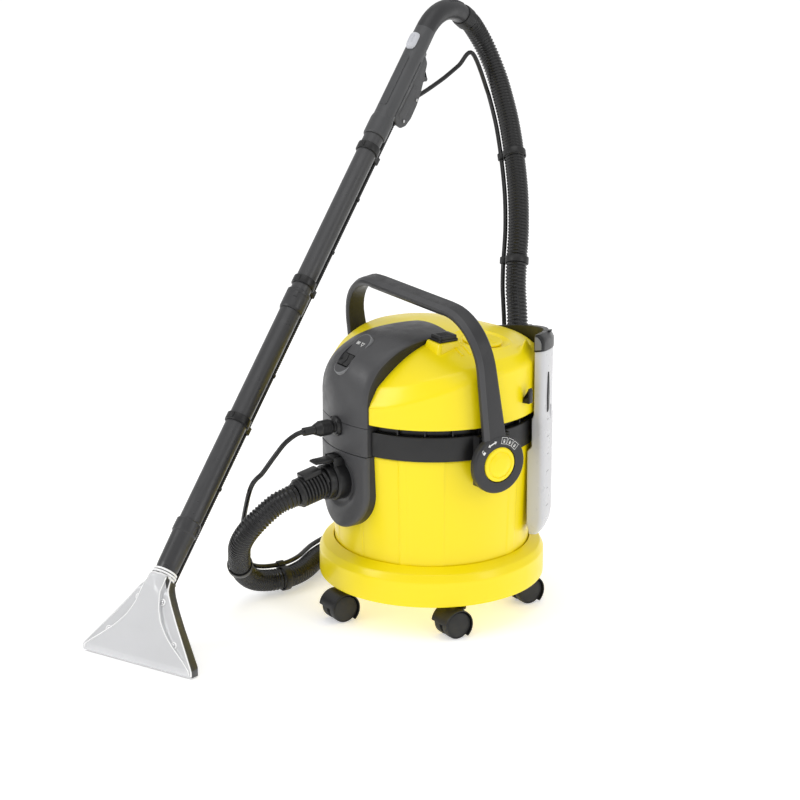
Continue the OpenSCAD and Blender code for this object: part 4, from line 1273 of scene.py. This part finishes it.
shell = soft([(15, 871.2), (19.6, 871.2), (20.6, 874), (20.6, 905), (19.6, 911), (18.7, 914), (18.5, 1060), (18.0,
        1103), (15, 1103)],
             [0.1, 1.5, 1.5, 3, 2, 3, 6, 0.2, 0.1], 4)
saddle = []
for k in range(22):
    d = 918 + 150 * k / 21
    half = 11.5 + 1.2 * sin(pi * k / 21)
    drop = 12 + 11.0 * ease(k, 0, 5)
    saddle.append([(x, y, d) for x, y in soft([(-half, 8), (-half - 1.2, 14), (-half + 2, drop), (half - 2, drop),
                                               (half + 1.2, 14), (half, 8)],
                                              [1, 3, 3, 3, 3, 1], 3)])
plate = [moved(block(-7, 7, 930, 1035, 0, 1.2, 3, 0.8), (0, -18.2, 0),
               Matrix(((1, 0, 0), (0, 0, -1), (0, 1, 0))))]
side_lines = [moved(block(-1.2, 1.2, 0, 118, -0.3, 0.8, 0.6, 0.4), (s * 18.1, 6, 922),
                    Matrix(((0, 0, s), (s, 0, 0), (0, 1, 0)))) for s in (-1, 1)]
make("grip_shell", merge(lathe(shell, 80), loops(saddle), *plate, *side_lines), a, "grip_grey", "wand",
     "handle_shell",
     sharp=35)


def bend_point(t, r=0.0, ang=0.0):
    """A point round the bend's middle line, t degrees along it."""
    rr = 100 - r * cos(ang)
    return (r * sin(ang), 100 - rr * cos(RAD(t)), 1103.1 + rr * sin(RAD(t)))


rows = []
for k in range(41):
    t = 75 * k / 40
    r = 17.9 + 0.6 * sin(pi * k / 40)
    rows.append([bend_point(t, r, tau * j / 40) for j in range(40)])
bend_ribs = []
for k in range(7):
    t0 = 46 + 3.6 * k
    arc_pts = []
    for j in range(9):
        an = pi + (j / 8 - 0.5) * 1.2
        arc_pts.append(bend_point(t0, 18.6, an))
    bend_ribs.append(strand(arc_pts, 0.7, 6))
make("grip_elbow", merge(loops(rows), *bend_ribs), a, "handle_dark", "wand", "grip_bend", sharp=50)
cuff_rot = rot_x(-75)
cuff_at = Vector(bend_point(75))
prof = [(14.6, 0.2), (19.4, 0.2), (20, 1.4), (20, 4)]
for k in range(4):
    prof += [(20.2, 5 + 5 * k), (20.6, 6 + 5 * k), (20.6, 8 + 5 * k), (19.4, 9 + 5 * k)]
prof += [(19.4, 25), (19, 26), (14.6, 26)]
make("grip_cuff_ring", lathe(prof, 64), turned(a, cuff_at, cuff_rot), "black_trim", "wand", "grip_cuff", sharp=35)

drop_2d = soft([(19.2, 932), (28, 927), (39, 930.5), (46.0, 940), (47.0, 956), (45.5, 985), (41.5, 1006), (31,
        1009),
                (29, 1048), (26, 1060), (19.5, 1062)], [2, 6, 7, 6, 12, 14, 3, 3, 4, 4, 2], 5)
valve = [moved(prism(drop_2d, -11, 11, 3.2, 4), (0, 0, 0), SIDEWAYS)]
valve.append(moved(lathe(soft([(4.1, 8), (5.6, 8), (6.4, 14), (5.4, 17.6), (4.1, 17.9)], 0.6, 3), 32), (0, 40, 982),
                   rot_x(-45)))
inset = soft([(22, 936), (30, 933), (38, 937), (42, 946), (42, 960), (40, 984), (36, 1004), (24, 1006)],
             [3, 5, 5, 5, 8, 8, 3, 3], 4)
cheek = soft([(17, 926), (30, 920), (44, 924), (54, 936), (59, 956), (58, 984), (53, 1008), (44, 1032), (33, 1058),
              (18, 1064)],
             [3, 8, 8, 8, 12, 16, 16, 16, 8, 3], 5)
for plate in (prism(inset, -11.8, -10.6, 0.1, low=0.8), prism(inset, 10.6, 11.8, 0.8),
              prism(cheek, 7.6, 11.2, 0.8), prism(cheek, -11.2, -7.6, 0.8)):
    valve.append(moved(plate, (0, 0, 0), SIDEWAYS))
make("valve_housing", merge(*valve), a, "grip_grey", "wand", "valve_body", sharp=35)
vs = []
for z, y in ((938, 42), (990, 50)):
    screw = lathe(soft([(0.01, 0), (2.9, 0), (2.9, 1.0), (2.2, 1.7), (0.7, 1.7), (0.7, 0.8), (0.01, 0.8)],
                       [0, 0.1, 0.4, 0.4, 0.1, 0.1, 0], 2), 24)
    vs.append(moved(screw, (11.7, y, z), rot_y(90)))
make("valve_screw_heads", merge(*vs), a, "steel", "wand", "valve_screws")
lever = soft([(34.5, 1014.5), (41, 1013.6), (47.5, 1022), (54.5, 1033), (61.0, 1038.5), (60.4, 1043.5), (55.0,
        1044.5),
              (46, 1041), (40.5, 1046), (35.4, 1054), (33.6, 1049), (33.4, 1026)], [3, 3, 8, 8, 3, 2, 4, 10, 6, 2,
                                                                                    4, 8], 4)
make("trigger_lever", moved(prism(lever, -6.8, 6.8, 1.8, 3), (0, 0, 0), SIDEWAYS), a, "grip_grey", "trigger",
     "trigger")
lock = [block(-5, 5, 46.2, 50.2, 958.4, 971.6, 1.5, 1.2)] + [block(-3.8, 3.8, 49.6, 51.2, 960.4 + 3.2 * k,
                                                                   961.8 + 3.2 * k, 0.5, 0.4)
                                                           for k in range(4)]
make("trigger_lock_tab", merge(*lock), a, "light_grey", "trigger_lock", "trigger_lock")
pad = []
for k in range(17):
    t = k / 16
    d = 1050 + 34 * t
    e = sqrt(max(1 - (2 * t - 1) ** 4, 0.02))
    half, high_y = 9.5 * (0.35 + 0.65 * e), 2 + 7.0 * e
    pad.append([(half * cos(tau * j / 24), -18.6 - max(high_y * sin(tau * j / 24), -0.2), d) for j in range(24)])
make("air_slider_pad", merge(loops(pad), *[block(-4.5, 4.5, -28.0, -26.7, 1060 + 3.4 * k, 1061.4 + 3.4 * k, 0.5,
                                                 0.4)
                                         for k in range(5)]), a, "light_grey", "air_slider", "air_slider", sharp=60)

# ---------- stage ----------

floor = bpy.data.meshes.new("floor")
floor.from_pydata([(-40, -40, -0.0005), (40, -40, -0.0005), (40, 40, -0.0005), (-40, 40, -0.0005)], [], [(0, 1, 2,
        3)])
floor_obj = add("floor", floor)
floor_mat = material("floor_paint", (0.93, 0.93, 0.93), 0.7, 0.0, 2, 0.005)
glow = floor_mat.node_tree.nodes["Principled BSDF"]
glow.inputs["Emission Color"].default_value = (1, 1, 1, 1)
glow.inputs["Emission Strength"].default_value = 0.42
floor.materials.append(floor_mat)

world = bpy.context.scene.world or bpy.data.worlds.new("world")
bpy.context.scene.world = world
world.use_nodes = True
world.node_tree.nodes["Background"].inputs["Color"].default_value = (1, 1, 1, 1)
world.node_tree.nodes["Background"].inputs["Strength"].default_value = 0.66


def lamp(name, place, aim, size, power):
    data = bpy.data.lights.new(name, "AREA")
    data.shape = "RECTANGLE"
    data.size, data.size_y = size
    data.energy = power
    obj = add(name, data)
    obj.location = place
    obj.rotation_euler = (Vector(place) - Vector(aim)).to_track_quat("Z", "Y").to_euler()


CENTRE = (0.1, 0.1, 0.3)
lamp("key", (-0.6, -3.2, 2.4), CENTRE, (1.6, 1.6), 34)
lamp("right", (3.0, 1.6, 1.7), CENTRE, (1.0, 2.0), 13)
lamp("top", (0.3, 0.1, 3.2), CENTRE, (2.2, 2.2), 16)
bpy.context.scene.view_settings.view_transform = "Standard"
